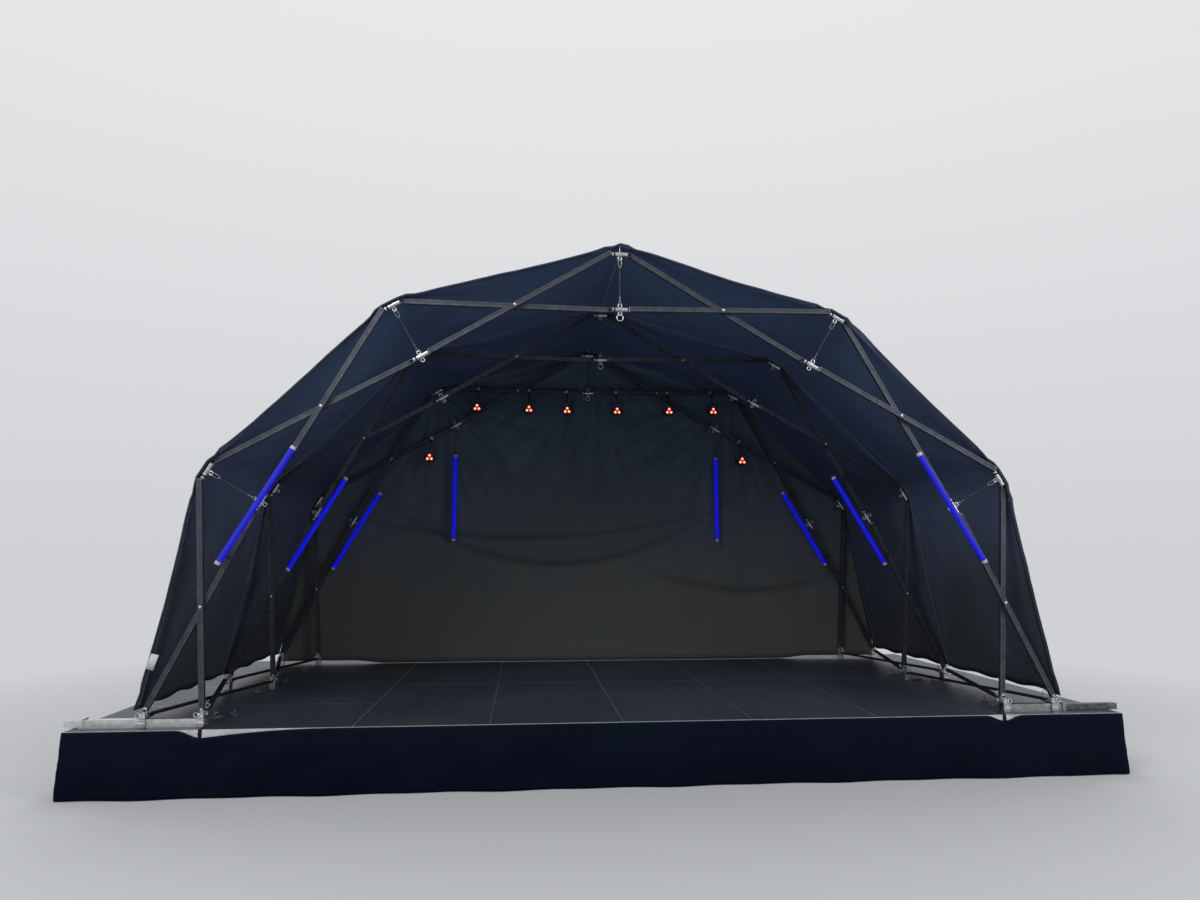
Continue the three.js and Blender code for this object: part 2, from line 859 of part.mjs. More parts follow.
// Corners of the cover in the plane of an arch, from the left hem over the peak to the right hem.
// It lies flat over the hubs, and comes to one corner above the peak.
function coverCorners(standoff, hemOut) {
  const corners = [[-outerFootX - hemOut, coverHemRise]];
  for (let index = 1; index < unitCount; index += 1) {
    const angle = hubAngle(index);
    const peak = index === unitCount / 2;
    const radius = outerRadius + standoff + (peak ? coverPeakRise : 0);
    for (const side of peak ? [0] : [-1, 1]) {
      const along = side * coverFlatReach;
      corners.push([
        radius * Math.sin(angle) + along * Math.cos(angle),
        archCentreRise + radius * Math.cos(angle) - along * Math.sin(angle),
      ]);
    }
  }
  corners.push([outerFootX + hemOut, coverHemRise]);
  return corners;
}

// A stretch between two corners takes more points where it hangs than where it lies on a hub.
function stepsBetween([ax, az], [bx, bz], hangingSteps) {
  return Math.hypot(bx - ax, bz - az) < 3 * coverFlatReach ? 1 : hangingSteps;
}

function coverGrid(standoff, hemOut) {
  const corners = coverCorners(standoff, hemOut);
  const front = -coverFrontReach;
  const stations = [{ y: front, share: 0 }];
  for (let bay = 0; bay < archCount - 1; bay += 1) {
    for (let step = bay === 0 ? 0 : 1; step <= baySteps; step += 1) {
      stations.push({ y: (bay + step / baySteps) * archSpacing, share: step / baySteps });
    }
  }
  stations.push({ y: (archCount - 1) * archSpacing + coverRearReach, share: 0 });
  return stations.map(({ y, share }) => {
    const row = [];
    corners.slice(0, -1).forEach(([ax, az], facet) => {
      const [bx, bz] = corners[facet + 1];
      const length = Math.hypot(bx - ax, bz - az);
      const inward = [(bz - az) / length, (ax - bx) / length];
      const last = facet === corners.length - 2;
      const steps = stepsBetween(corners[facet], corners[facet + 1], facetSteps);
      for (let step = 0; step <= (last ? steps : steps - 1); step += 1) {
        const along = step / steps;
        const belly = Math.sin(Math.PI * along);
        const sag = belly * (facetSag + baySag * Math.sin(Math.PI * share) ** 2);
        row.push([
          ax + (bx - ax) * along + inward[0] * sag,
          y,
          az + (bz - az) * along + inward[1] * sag,
        ]);
      }
    });
    const turns = hemWaveCount * y / ((archCount - 1) * archSpacing);
    const wave = hemWave * (1 - Math.cos(2 * Math.PI * turns)) / 2;
    row[0][2] += wave;
    row[row.length - 1][2] += wave;
    return row;
  });
}

function roofCover() {
  const outerGrid = coverGrid(coverStandoff + clothThickness, coverHemOut + clothThickness);
  const innerGrid = coverGrid(coverStandoff, coverHemOut);
  return clothPiece('roof_cover', outerGrid, innerGrid);
}

// Back wall: it closes the rear arch, with folds that fan out from the peak.
function backWall() {
  const corners = coverCorners(coverStandoff + clothThickness, coverHemOut + clothThickness);
  const half = corners.slice((corners.length - 1) / 2).reverse();
  const [hemX, hemZ] = half[0];
  const slope = (half[1][0] - hemX) / (half[1][1] - hemZ);
  const bands = [[hemX + slope * (wallHemRise - hemZ), wallHemRise], ...half.slice(1)];
  const levels = [];
  bands.slice(0, -1).forEach(([ax, az], band) => {
    const [bx, bz] = bands[band + 1];
    const steps = stepsBetween(bands[band], bands[band + 1], wallRowsPerBand);
    for (let step = 0; step < steps; step += 1) {
      const share = step / steps;
      levels.push([ax + (bx - ax) * share, az + (bz - az) * share]);
    }
  });
  const peak = bands[bands.length - 1];
  levels.push([0, peak[1]]);
  const grid = (behind) => levels.map(([halfWidth, z]) => {
    const row = [];
    for (let column = 0; column <= wallColumns; column += 1) {
      const x = halfWidth * (2 * column / wallColumns - 1);
      const room = Math.min(halfWidth - Math.abs(x), peak[1] - z);
      const fade = Math.min(1, room / wallFade);
      const fan = Math.sin(wallFoldCount * Math.atan2(x, peak[1] - z + wallFade));
      row.push([x, behind + wallFoldDepth * fade * (1 + fan) / 2, z]);
    }
    return row;
  });
  return clothPiece('back_wall', grid(0), grid(clothThickness));
}

// LED tubes

function tubeAlong() {
  return rod([-tubeLength / 2, 0, 0], [tubeLength / 2, 0, 0], tubeRadius, tubeSides);
}

// How far a bar of chain q lies outside the hub line, at a place along that line.
function barOffset(hubIndex, unit, along) {
  const angle = hubAngle(hubIndex);
  const [x, z] = hubCentre(false, hubIndex);
  const [[ax, az], [bx, bz]] = barEnds('q', unit).map(([px, pz]) => [
    (px - x) * Math.cos(angle) - (pz - z) * Math.sin(angle),
    (px - x) * Math.sin(angle) + (pz - z) * Math.cos(angle),
  ]);
  return az + (bz - az) * (along - ax) / (bx - ax);
}

// A slanted tube inside the two inner bars that meet at a lower hub, with a bracket to each bar.
function slantTube(name, hubIndex, inset, drop) {
  const side = hubIndex === 1 ? -1 : 1;
  const lift = layerOuter + tubeGap + tubeRadius;
  const shift = side * drop;
  const bracket = (along, unit) => {
    const face = layerSide('q', unit) < 0 ? -layerOuter - clearance : layerInner - clearance;
    const barZ = inset + barOffset(hubIndex, unit, along + shift);
    const half = tubeBracketLength / 2;
    const wide = tubeBracketWidth / 2;
    return block(
      [along - half, 0, Math.min(0, barZ) - wide],
      [along + half, lift + face, Math.max(0, barZ) + wide],
    );
  };
  const solid = joined([
    tubeAlong(),
    bracket(-tubeBracketReach, hubIndex),
    bracket(tubeBracketReach, hubIndex + 1),
  ]);
  const angle = hubAngle(hubIndex);
  const [x, z] = hubCentre(false, hubIndex);
  const mesh = piece(name, solid, paints.tube());
  mesh.position.set(
    x + shift * Math.cos(angle) - inset * Math.sin(angle),
    -lift,
    z - shift * Math.sin(angle) - inset * Math.cos(angle),
  );
  mesh.rotation.y = angle;
  return mesh;
}

// An upright tube that hangs under an inner hub on a rod.
function uprightTube(name, hubIndex) {
  const [x, z] = hubCentre(false, hubIndex);
  const angle = hubAngle(hubIndex);
  const eyeX = -eyeReach * Math.sin(angle);
  const eyeZ = -eyeReach * Math.cos(angle) - eyeRadius;
  const top = -uprightTubeDrop;
  const tube = spun(tubeAlong(), Math.PI / 2, 0, 0, top - tubeLength / 2);
  const rodTop = eyeZ - clearance - hangerRadius;
  const mesh = piece(name, joined([
    tube,
    rod([0, 0, top - tubeRadius], [0, 0, rodTop], hangerRadius, wireSides),
    rod([0, 0, rodTop], [eyeX, 0, rodTop], hangerRadius, wireSides),
  ]), paints.tube());
  mesh.position.set(x, 0, z);
  return mesh;
}

// Lamps

function barHeightAt(chain, unit, x) {
  const [[ax, az], [bx, bz]] = barEnds(chain, unit);
  return az + (bz - az) * (x - ax) / (bx - ax);
}

// The places of the lamps: the bar that each one hangs from, and the centre of its tilt axis.
function lampPlaces() {
  const middle = unitCount / 2;
  const places = lampTopOffsets.map((x) => ({ chain: 'q', unit: x < 0 ? middle : middle + 1, x }));
  places.push({ chain: 'p', unit: 2, x: -lampSideOffset });
  places.push({ chain: 'p', unit: unitCount - 1, x: lampSideOffset });
  return places.map((place) => {
    const [[ax, az], [bx, bz]] = barEnds(place.chain, place.unit);
    const slant = Math.hypot(bx - ax, bz - az) / (bx - ax);
    const centre = barHeightAt(place.chain, place.unit, place.x);
    const under = centre - slant * barWidth / 2;
    return { ...place, centre, under, z: centre - lampDrop };
  });
}

// The clamp arm and yoke of a lamp, joined to the bar that carries it.
function yokeSolid(place) {
  const { x, z, centre, under } = place;
  const barY = layerSide(place.chain, place.unit) * layerCentre;
  const armBase = under - clampArmHeight;
  const half = clampArmWidth / 2;
  const inner = lampRadius + yokeGap;
  const outer = inner + yokeThickness;
  const top = z + yokeTopRise;
  const fork = new THREE.Shape();
  fork.moveTo(x - outer, z - yokeFootDrop);
  fork.lineTo(x - inner, z - yokeFootDrop);
  fork.lineTo(x - inner, top);
  fork.lineTo(x + inner, top);
  fork.lineTo(x + inner, z - yokeFootDrop);
  fork.lineTo(x + outer, z - yokeFootDrop);
  fork.lineTo(x + outer, top + yokeThickness);
  fork.lineTo(x - outer, top + yokeThickness);
  fork.closePath();
  const solids = [
    block([x - half, barY - barDepth / 4, armBase], [x + half, barY + barDepth / 4, centre]),
    block([x - half, -lampForward - half, armBase], [x + half, barY, under - clearance]),
    block(
      [x - lampStudRadius, -lampForward - lampStudRadius, top + yokeThickness / 2],
      [x + lampStudRadius, -lampForward + lampStudRadius, armBase + clampArmHeight / 2],
    ),
    uprightPlate(fork, yokeWidth, 1).translate([0, -lampForward, 0]),
  ];
  const hole = rod(
    [x - outer - overrun, -lampForward, z],
    [x + outer + overrun, -lampForward, z],
    (lampPinRadius + clearance) / Math.cos(Math.PI / pinSides),
    pinSides,
  );
  return joined(solids).subtract(hole);
}

// A lamp head: a round can that faces the audience, three lenses, and a pin and knob on each side.
function lampHead(name, place) {
  const outer = lampRadius + yokeGap + yokeThickness;
  const pinReach = outer + knobLength / 2;
  const solids = [
    rod([0, -lampFrontLength, 0], [0, lampRearLength, 0], lampRadius, lampSides),
    rod([-pinReach, 0, 0], [pinReach, 0, 0], lampPinRadius, pinSides),
    rod([-outer - knobLength, 0, 0], [-outer - clearance, 0, 0], knobRadius, pinSides),
    rod([outer + clearance, 0, 0], [outer + knobLength, 0, 0], knobRadius, pinSides),
  ];
  for (let i = 0; i < lensCount; i += 1) {
    const angle = Math.PI / 2 + 2 * Math.PI * i / lensCount;
    const x = lensOffset * Math.cos(angle);
    const z = lensOffset * Math.sin(angle);
    solids.push(rod(
      [x, -lampFrontLength - lensProud, z],
      [x, lensProud - lampFrontLength, z],
      lensRadius,
      pinSides,
    ));
  }
  const mesh = piece(name, joined(solids), paints.lamp());
  mesh.position.set(place.x, -lampForward, place.z);
  return mesh;
}

// Assembly

const stage = new THREE.Group();

for (let index = 0; index < moduleCount; index += 1) {
  stage.add(piece(`deck_frame_${index + 1}`, moduleFrame(index), paints.frame()));
  stage.add(piece(`deck_board_${index + 1}`, moduleBoard(index), paints.board()));
}
stage.add(skirt());

const arches = [];
for (let index = 0; index < archCount; index += 1) {
  const arch = new THREE.Group();
  arch.position.set(0, frontArchY + index * archSpacing, deckHeight);
  stage.add(arch);
  arches.push(arch);
}
const [frontArch, middleArch, rearArch] = arches;

for (const side of [-1, 1]) {
  const hand = side < 0 ? 'left' : 'right';
  const index = side < 0 ? 0 : unitCount;
  frontArch.add(piece(`base_beam_${hand}`, beamSolid(side).add(beamClamp(side)), paints.frame()));
  frontArch.add(piece(`beam_extension_${hand}`, extensionSolid(side), paints.frame()));
  frontArch.add(piece(`front_foot_inner_${hand}`, footSolid('p', index, true, [1], false), paints.silver()));
  frontArch.add(piece(`front_foot_outer_${hand}`, footSolid('q', index, true, [1], false), paints.silver()));
  frontArch.add(piece(`floor_brace_front_${hand}`, braceSolid(side), paints.brace()));
  middleArch.add(piece(`floor_brace_rear_${hand}`, braceSolid(side), paints.brace()));
}

for (let unit = 1; unit <= unitCount; unit += 1) {
  for (const chain of ['p', 'q']) {
    const facing = layerSide(chain, unit) < 0 ? 'front' : 'rear';
    frontArch.add(piece(`scissor_bar_${unit}_${facing}`, looseBar(chain, unit), paints.bar()));
  }
}
for (let index = 1; index < unitCount; index += 1) {
  frontArch.add(piece(`tension_cable_${index}`, cableSolid(index), paints.silver()));
}

const lamps = lampPlaces();
const chains = { p: 'chain_a', q: 'chain_b' };
for (const chain of ['p', 'q']) {
  middleArch.add(piece(`middle_arch_${chains[chain]}`, chainSolid(chain, [-1, 1]), paints.bar()));
  const yokes = lamps.filter((place) => place.chain === chain).map(yokeSolid);
  const eyes = chain === 'p' ? hangerHubs.map(lowerEye) : [];
  const solid = joined([chainSolid(chain, [-1]), ...yokes, ...eyes]);
  rearArch.add(piece(`rear_arch_${chains[chain]}`, solid, paints.bar()));
}
lamps.forEach((place, index) => rearArch.add(lampHead(`lamp_head_${index + 1}`, place)));

arches.forEach((arch, index) => {
  const row = ['front', 'middle', 'rear'][index];
  arch.add(slantTube(`led_tube_${row}_left`, 1, leftTubeInsets[index], leftTubeDrops[index]));
  arch.add(slantTube(`led_tube_${row}_right`, unitCount - 1, rightTubeInsets[index], rightTubeDrops[index]));
});
rearArch.add(uprightTube('led_tube_upright_left', hangerHubs[0]));
rearArch.add(uprightTube('led_tube_upright_right', hangerHubs[1]));

frontArch.add(roofCover());
const wall = backWall();
wall.position.y = coverRearReach + clearance;
rearArch.add(wall);

const box = new THREE.Box3().setFromObject(stage);
stage.position.y = -(box.min.y + box.max.y) / 2;

export default stage;
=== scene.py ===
"""Arched roof stage: camera, light, finishes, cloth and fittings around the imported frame. Metres, Z up."""

import json
from math import atan2, cos, exp, hypot, pi, radians, sin

import bmesh
import bpy
from mathutils import Matrix, Vector, noise


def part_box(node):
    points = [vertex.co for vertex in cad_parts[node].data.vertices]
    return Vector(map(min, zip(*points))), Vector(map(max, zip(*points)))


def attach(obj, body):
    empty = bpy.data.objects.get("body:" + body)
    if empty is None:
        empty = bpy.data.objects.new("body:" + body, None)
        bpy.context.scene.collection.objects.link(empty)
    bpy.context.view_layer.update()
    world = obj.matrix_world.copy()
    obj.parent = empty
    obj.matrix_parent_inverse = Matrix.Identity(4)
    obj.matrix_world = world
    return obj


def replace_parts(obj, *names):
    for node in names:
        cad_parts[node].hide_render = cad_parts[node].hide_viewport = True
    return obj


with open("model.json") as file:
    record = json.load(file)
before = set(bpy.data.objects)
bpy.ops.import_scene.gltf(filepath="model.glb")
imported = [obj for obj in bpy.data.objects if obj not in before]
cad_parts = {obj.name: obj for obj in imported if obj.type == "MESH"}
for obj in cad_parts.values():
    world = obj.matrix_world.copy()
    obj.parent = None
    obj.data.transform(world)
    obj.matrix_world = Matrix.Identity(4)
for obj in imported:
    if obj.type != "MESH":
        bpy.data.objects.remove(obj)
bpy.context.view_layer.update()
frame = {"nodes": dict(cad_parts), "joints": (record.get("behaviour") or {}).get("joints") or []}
scene = bpy.context.scene
nodes = frame["nodes"]

# Driving sizes of the arches, as in the solids
UNITS = 6
PEAK = UNITS // 2
UNIT_ANGLE = pi / UNITS
OUTER_RADIUS = 3.676
INNER_RADIUS = 3.202
CENTRE_RISE = 0.046
OUTER_FOOT_X = 3.514
INNER_FOOT_X = 3.105
FOOT_PIN_RISE = 0.122
BAR_WIDTH = 0.042
BAR_DEPTH = 0.030
BAR_OVERHANG = 0.012
LAYER_INNER = 0.004
LAYER_OUTER = LAYER_INNER + BAR_DEPTH
LAYER_CENTRE = LAYER_INNER + BAR_DEPTH / 2
PIN_OFFSET = 0.088
EYE_REACH = 0.034

# Places read from the frame
deck_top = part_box("deck_board_1")[1].z
deck_low, deck_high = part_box("deck_frame_1")[0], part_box("deck_frame_4")[1]
beam_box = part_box("base_beam_left")
front_y = (beam_box[0].y + beam_box[1].y) / 2
middle_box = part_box("middle_arch_chain_a")
middle_y = (middle_box[0].y + middle_box[1].y) / 2
SPACING = middle_y - front_y
rear_y = middle_y + SPACING
ARCHES = {"front": front_y, "middle": middle_y, "rear": rear_y}


def shown(name, data):
    """A new object in the scene that shows the data."""
    item = bpy.data.objects.new(name, data)
    scene.collection.objects.link(item)
    return item


# Camera: the photograph's place and angle
PHOTO_WIDTH, SENSOR_WIDTH, FOCAL_PIXELS = 1200, 36, 811.4
CAMERA_OFFSET = Vector((-0.7623, -6.4255, 1.2255))
CAMERA_YAW, CAMERA_PITCH = -0.0927, 0.132

lens = bpy.data.cameras.new("camera")
lens.sensor_width = SENSOR_WIDTH
lens.lens = SENSOR_WIDTH * FOCAL_PIXELS / PHOTO_WIDTH
camera = shown("camera", lens)
camera.location = CAMERA_OFFSET + Vector((0, front_y, deck_top))
camera.rotation_euler = (pi / 2 + CAMERA_PITCH, 0, CAMERA_YAW)
scene.camera = camera
scene.view_settings.view_transform = "Standard"


# Finishes


class Tree:
    """A node tree, with short calls for its nodes."""

    def __init__(self, tree):
        self.tree = tree

    def add(self, kind, inputs=(), **settings):
        """A new node, with a value or a link for each input."""
        node = self.tree.nodes.new("ShaderNode" + kind)
        for key, value in settings.items():
            setattr(node, key, value)
        for key, value in dict(inputs).items():
            self.give(node.inputs[key], value)
        return node

    def give(self, socket, value):
        if isinstance(value, bpy.types.NodeSocket):
            self.tree.links.new(value, socket)
        else:
            socket.default_value = value

    def maths(self, kind, *values):
        return self.add("Math", enumerate(values), operation=kind).outputs[0]

    def less(self, a, b):
        return self.maths("SUBTRACT", a, b)

    def times(self, a, b):
        return self.maths("MULTIPLY", a, b)

    def span(self, value, to=(0, 1), source=(0, 1), kind="LINEAR"):
        """The value carried from one range to another."""
        ends = {"From Min": source[0], "From Max": source[1], "To Min": to[0], "To Max": to[1]}
        return self.add("MapRange", {"Value": value, **ends}, interpolation_type=kind).outputs[0]

    def ramp(self, value, low, high, start=0.3, end=0.7):
        node = self.add("ValToRGB", {"Fac": value})
        first, last = node.color_ramp.elements
        first.position, last.position = start, end
        first.color, last.color = (*low, 1), (*high, 1)
        return node.outputs["Color"]

    def show_mix(self, share, first, second, output):
        """Shows two shaders, mixed by a share."""
        mix = self.add("MixShader", enumerate((share, first, second)))
        self.give(self.tree.nodes[output].inputs["Surface"], mix.outputs[0])


class Finish(Tree):
    """A material, with textures in the object's own coordinates."""

    def __init__(self, name):
        self.material = bpy.data.materials.new(name)
        self.material.use_nodes = True
        super().__init__(self.material.node_tree)
        self.shader = self.tree.nodes["Principled BSDF"]
        self.place = self.add("TexCoord").outputs["Object"]

    def parts(self):
        return self.add("SeparateXYZ", {"Vector": self.place}).outputs

    def noise(self, scale, detail=4, stretch=(1, 1, 1), place=None):
        place = place or self.add("Mapping", {"Vector": self.place, "Scale": stretch}).outputs[0]
        inputs = {"Vector": place, "Scale": scale, "Detail": detail}
        return self.add("TexNoise", inputs).outputs["Fac"]

    def wave(self, scale, direction):
        inputs = {"Vector": self.place, "Scale": scale}
        return self.add("TexWave", inputs, bands_direction=direction).outputs["Fac"]

    def fade(self, away, reach):
        """One where nothing is away, and nought from the reach on."""
        return self.maths("MAXIMUM", self.less(1.0, self.maths("DIVIDE", away, reach)), 0.0)

    def fan(self, x, z, count, reach):
        """Streaks about nought that spread from a point in X and Z."""
        parts = self.parts()
        across = self.less(parts["X"], x)
        down = self.less(z, parts["Z"])
        square = self.maths("ADD", self.times(across, across), self.times(down, down))
        away = self.maths("POWER", square, 0.5)
        turn = {"X": self.maths("ARCTAN2", across, down), "Y": self.times(away, FAN_STRETCH)}
        noise = self.noise(count, 3, place=self.add("CombineXYZ", turn).outputs[0])
        return self.times(self.less(noise, 0.5), self.fade(away, reach))

    def swag(self, x, z, bend, half, reach):
        """A hanging fold's mask for painted shade: one along its curve, and nought beside it and past its
        reach.
        """
        parts = self.parts()
        across = self.less(parts["X"], x)
        rise = self.times(self.times(across, across), bend)
        off = self.less(self.less(parts["Z"], rise), z)
        near = self.fade(self.maths("ABSOLUTE", off), half)
        return self.times(near, self.fade(self.maths("ABSOLUTE", across), reach))

    def scaled(self, colour, factor):
        return self.add("VectorMath", {0: colour, "Scale": factor}, operation="SCALE").outputs[0]

    def bump(self, height, strength, distance):
        """A bump on top of those before."""
        node = self.add("Bump", {"Height": height, "Strength": strength, "Distance": distance})
        normal = self.shader.inputs["Normal"]
        if normal.links:
            self.give(node.inputs["Normal"], normal.links[0].from_socket)
        self.give(normal, node.outputs[0])

    def set(self, **values):
        """Links or values for the shader's sockets."""
        for key, value in values.items():
            name = key.replace("_", " ").title().replace("Ior", "IOR")
            self.give(self.shader.inputs[name], (*value, 1) if isinstance(value, tuple) else value)


FAN_STRETCH, FAN_HEIGHT, SWAG_SHADE = 0.12, 0.03, 0.42
BLOTCH_SCALE, BLOTCH_TONE = 1.7, 0.35
THREAD_HEIGHT, GRAIN_HEIGHT = 0.0004, 0.0002


def fabric(name, low, high, weave=900, crease=0.004, gloss=0.12, levels=(1.2, 3.4), fans=(), swags=()):
    """Woven cloth, from one colour to another between two levels, which is painted light; fans add painted
    shade and highlight, swags painted shade.
    """
    made = Finish(name)
    # Painted light: the colour ramps with height from the low colour to the high one, with random blotches
    # on top.
    rise = made.span(made.parts()["Z"], source=levels)
    blotch = made.span(made.noise(BLOTCH_SCALE, 6), (-BLOTCH_TONE, BLOTCH_TONE))
    colour = made.ramp(made.maths("ADD", rise, blotch), low, high, 0.0, 1.0)
    for *fan, strength in fans:
        streaks = made.fan(*fan)
        made.bump(streaks, 0.5, FAN_HEIGHT)
        # Painted shade and highlight along the creases: the colour scaled darker and lighter with the
        # streaks.
        colour = made.scaled(colour, made.maths("MULTIPLY_ADD", streaks, strength, 1.0))
    for swag in swags:
        # Painted shade: the colour darker along each long fold.
        colour = made.scaled(colour, made.less(1.0, made.times(made.swag(*swag), SWAG_SHADE)))
    made.set(base_color=colour)
    made.set(roughness=made.span(made.noise(5, 3), (0.66, 0.86)), specular_ior_level=gloss)
    made.bump(made.noise(7, 5, (1, 1, 0.6)), 0.5, crease)
    made.bump(made.maths("ADD", made.wave(weave, "X"), made.wave(weave, "Z")), 0.25, THREAD_HEIGHT)
    return made.material


def metal(name, dark, light, rough=(0.28, 0.45), metallic=1.0):
    made = Finish(name)
    made.set(base_color=made.ramp(made.noise(22, 6), dark, light), metallic=metallic)
    made.set(roughness=made.span(made.noise(60, 5), rough))
    made.bump(made.noise(420, 3), 0.3, GRAIN_HEIGHT)
    return made.material


def plastic(name, colour, rough, glow=None, strength=0.0):
    made = Finish(name)
    dark = tuple(0.75 * value for value in colour)
    made.set(base_color=made.ramp(made.noise(30, 4), dark, colour))
    made.set(roughness=made.span(made.noise(90, 3), (rough - 0.08, rough + 0.08)))
    made.bump(made.noise(700, 2), 0.2, GRAIN_HEIGHT)
    if glow:
        made.set(emission_color=glow, emission_strength=strength)
    return made.material


def deck_coating():
    made = Finish("deck_coating")
    made.set(base_color=made.ramp(made.noise(0.8, 7), (0.020, 0.026, 0.038), (0.042, 0.051, 0.067)))
    made.set(roughness=made.span(made.noise(9, 8, (1, 4, 1)), (0.34, 0.5)), specular_ior_level=0.3)
    made.bump(made.noise(260, 2), 0.3, 0.0004)
    made.bump(made.noise(14, 5), 0.1, 0.0015)
    return made.material


# Fans of creases on the wall, bumped, with painted shade and highlight along them: X, height over the
# ground, count, reach and strength of the painted light
WALL_FANS = ((0, 4.2, 9, 2.2, 1.9), (-1.84, 3.7, 10, 2.0, 2.0), (1.84, 3.7, 10, 2.0, 2.0))
# Long folds across the wall, folded into the sheet and with painted shade along them: X and height of the
# lowest point, bend, half width and reach
WALL_SWAGS = ((-0.36, 1.63, 0.17, 0.07, 3.0), (-0.8, 1.94, 0.06, 0.055, 2.8), (2.0, 1.3, 0.16, 0.08, 1.6))

# The high colour of each cloth is painted light towards the top of its levels: lighter on most, and bluer on
# the wall.
COVER = fabric("cover_outside", (0.012, 0.0135, 0.017), (0.016, 0.019, 0.026))
# The cover's inside face is the outside's black cloth made much lighter and bluer: painted light.
COVER_INSIDE_LIGHT = fabric("cover_lining", (0.048, 0.054, 0.064), (0.086, 0.132, 0.25), levels=(1.0, 4.0))
# The wall's inner face is the cover's black cloth made much lighter: painted light. Its back face keeps the
# cover's colour.
WALL = fabric(
    "wall_cloth", (0.096, 0.099, 0.094), (0.064, 0.098, 0.142),
    crease=0.008, levels=(1.2, 3.5), fans=WALL_FANS, swags=WALL_SWAGS,
)
SKIRT = fabric(
    "skirt_cloth", (0.0008, 0.0028, 0.009), (0.0034, 0.0068, 0.016),
    crease=0.02, gloss=0.05, levels=(-0.1, 0.9),
)
WELT = fabric("welt", (0.10, 0.11, 0.13), (0.15, 0.165, 0.20), weave=500, crease=0.0006)
BAND = fabric("hem_band", (0.040, 0.044, 0.052), (0.075, 0.10, 0.16), levels=(1.0, 4.0))
WEBBING = fabric("webbing", (0.008, 0.008, 0.009), (0.016, 0.016, 0.018), weave=400, crease=0.0008)
TAG = fabric("blank_tag", (0.5, 0.51, 0.53), (0.6, 0.61, 0.63), weave=600, crease=0.0006)
ANODISED = metal("dark_anodised", (0.042, 0.046, 0.058), (0.074, 0.081, 0.101), (0.34, 0.5), 0.65)
SILVER = metal("machined_aluminium", (0.44, 0.445, 0.455), (0.64, 0.645, 0.655))
PALE = metal("mill_aluminium", (0.52, 0.525, 0.53), (0.76, 0.765, 0.775), (0.34, 0.52))
# A darker copy of the mill aluminium, for painted shade on the right base beam.
SHADED_ALUMINIUM = metal("grey_aluminium", (0.26, 0.265, 0.27), (0.42, 0.425, 0.435), (0.36, 0.52))
STEEL = metal("steel_wire", (0.07, 0.073, 0.08), (0.2, 0.205, 0.215), (0.35, 0.5))
DULL = metal("dull_steel", (0.10, 0.103, 0.11), (0.23, 0.235, 0.245), (0.35, 0.5))
BLACK_METAL = metal("black_powder_coat", (0.004, 0.004, 0.005), (0.009, 0.009, 0.01), (0.45, 0.65), 0.0)
DECK = deck_coating()
CAP = plastic("end_cap_plastic", (0.5, 0.51, 0.53), 0.5)
BODY = plastic("lamp_body", (0.009, 0.009, 0.01), 0.55)
TUBE = plastic("lit_tube", (0.001, 0.002, 0.04), 0.6, (0.001, 0.0015, 0.46), 1.0)
LENS = plastic("lit_lens", (0.3, 0.02, 0.01), 0.25, (1.0, 0.10, 0.035), 1.25)
CORE = plastic("lit_core", (0.6, 0.3, 0.2), 0.25, (1.0, 0.62, 0.42), 1.6)


# Mesh building
X, Y, Z = Vector((1, 0, 0)), Vector((0, 1, 0)), Vector((0, 0, 1))


def about(centre, half):
    return centre - half, centre + half


def between(a, b, share):
    return a + (b - a) * share


def new_piece(name, data, slot, body, *materials):
    """A mesh as a smooth new object with its finishes and on its body. The slot is not used."""
    for material in materials:
        data.materials.append(material)
    data.shade_smooth()
    piece = shown(name, data)
    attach(piece, body)
    return piece


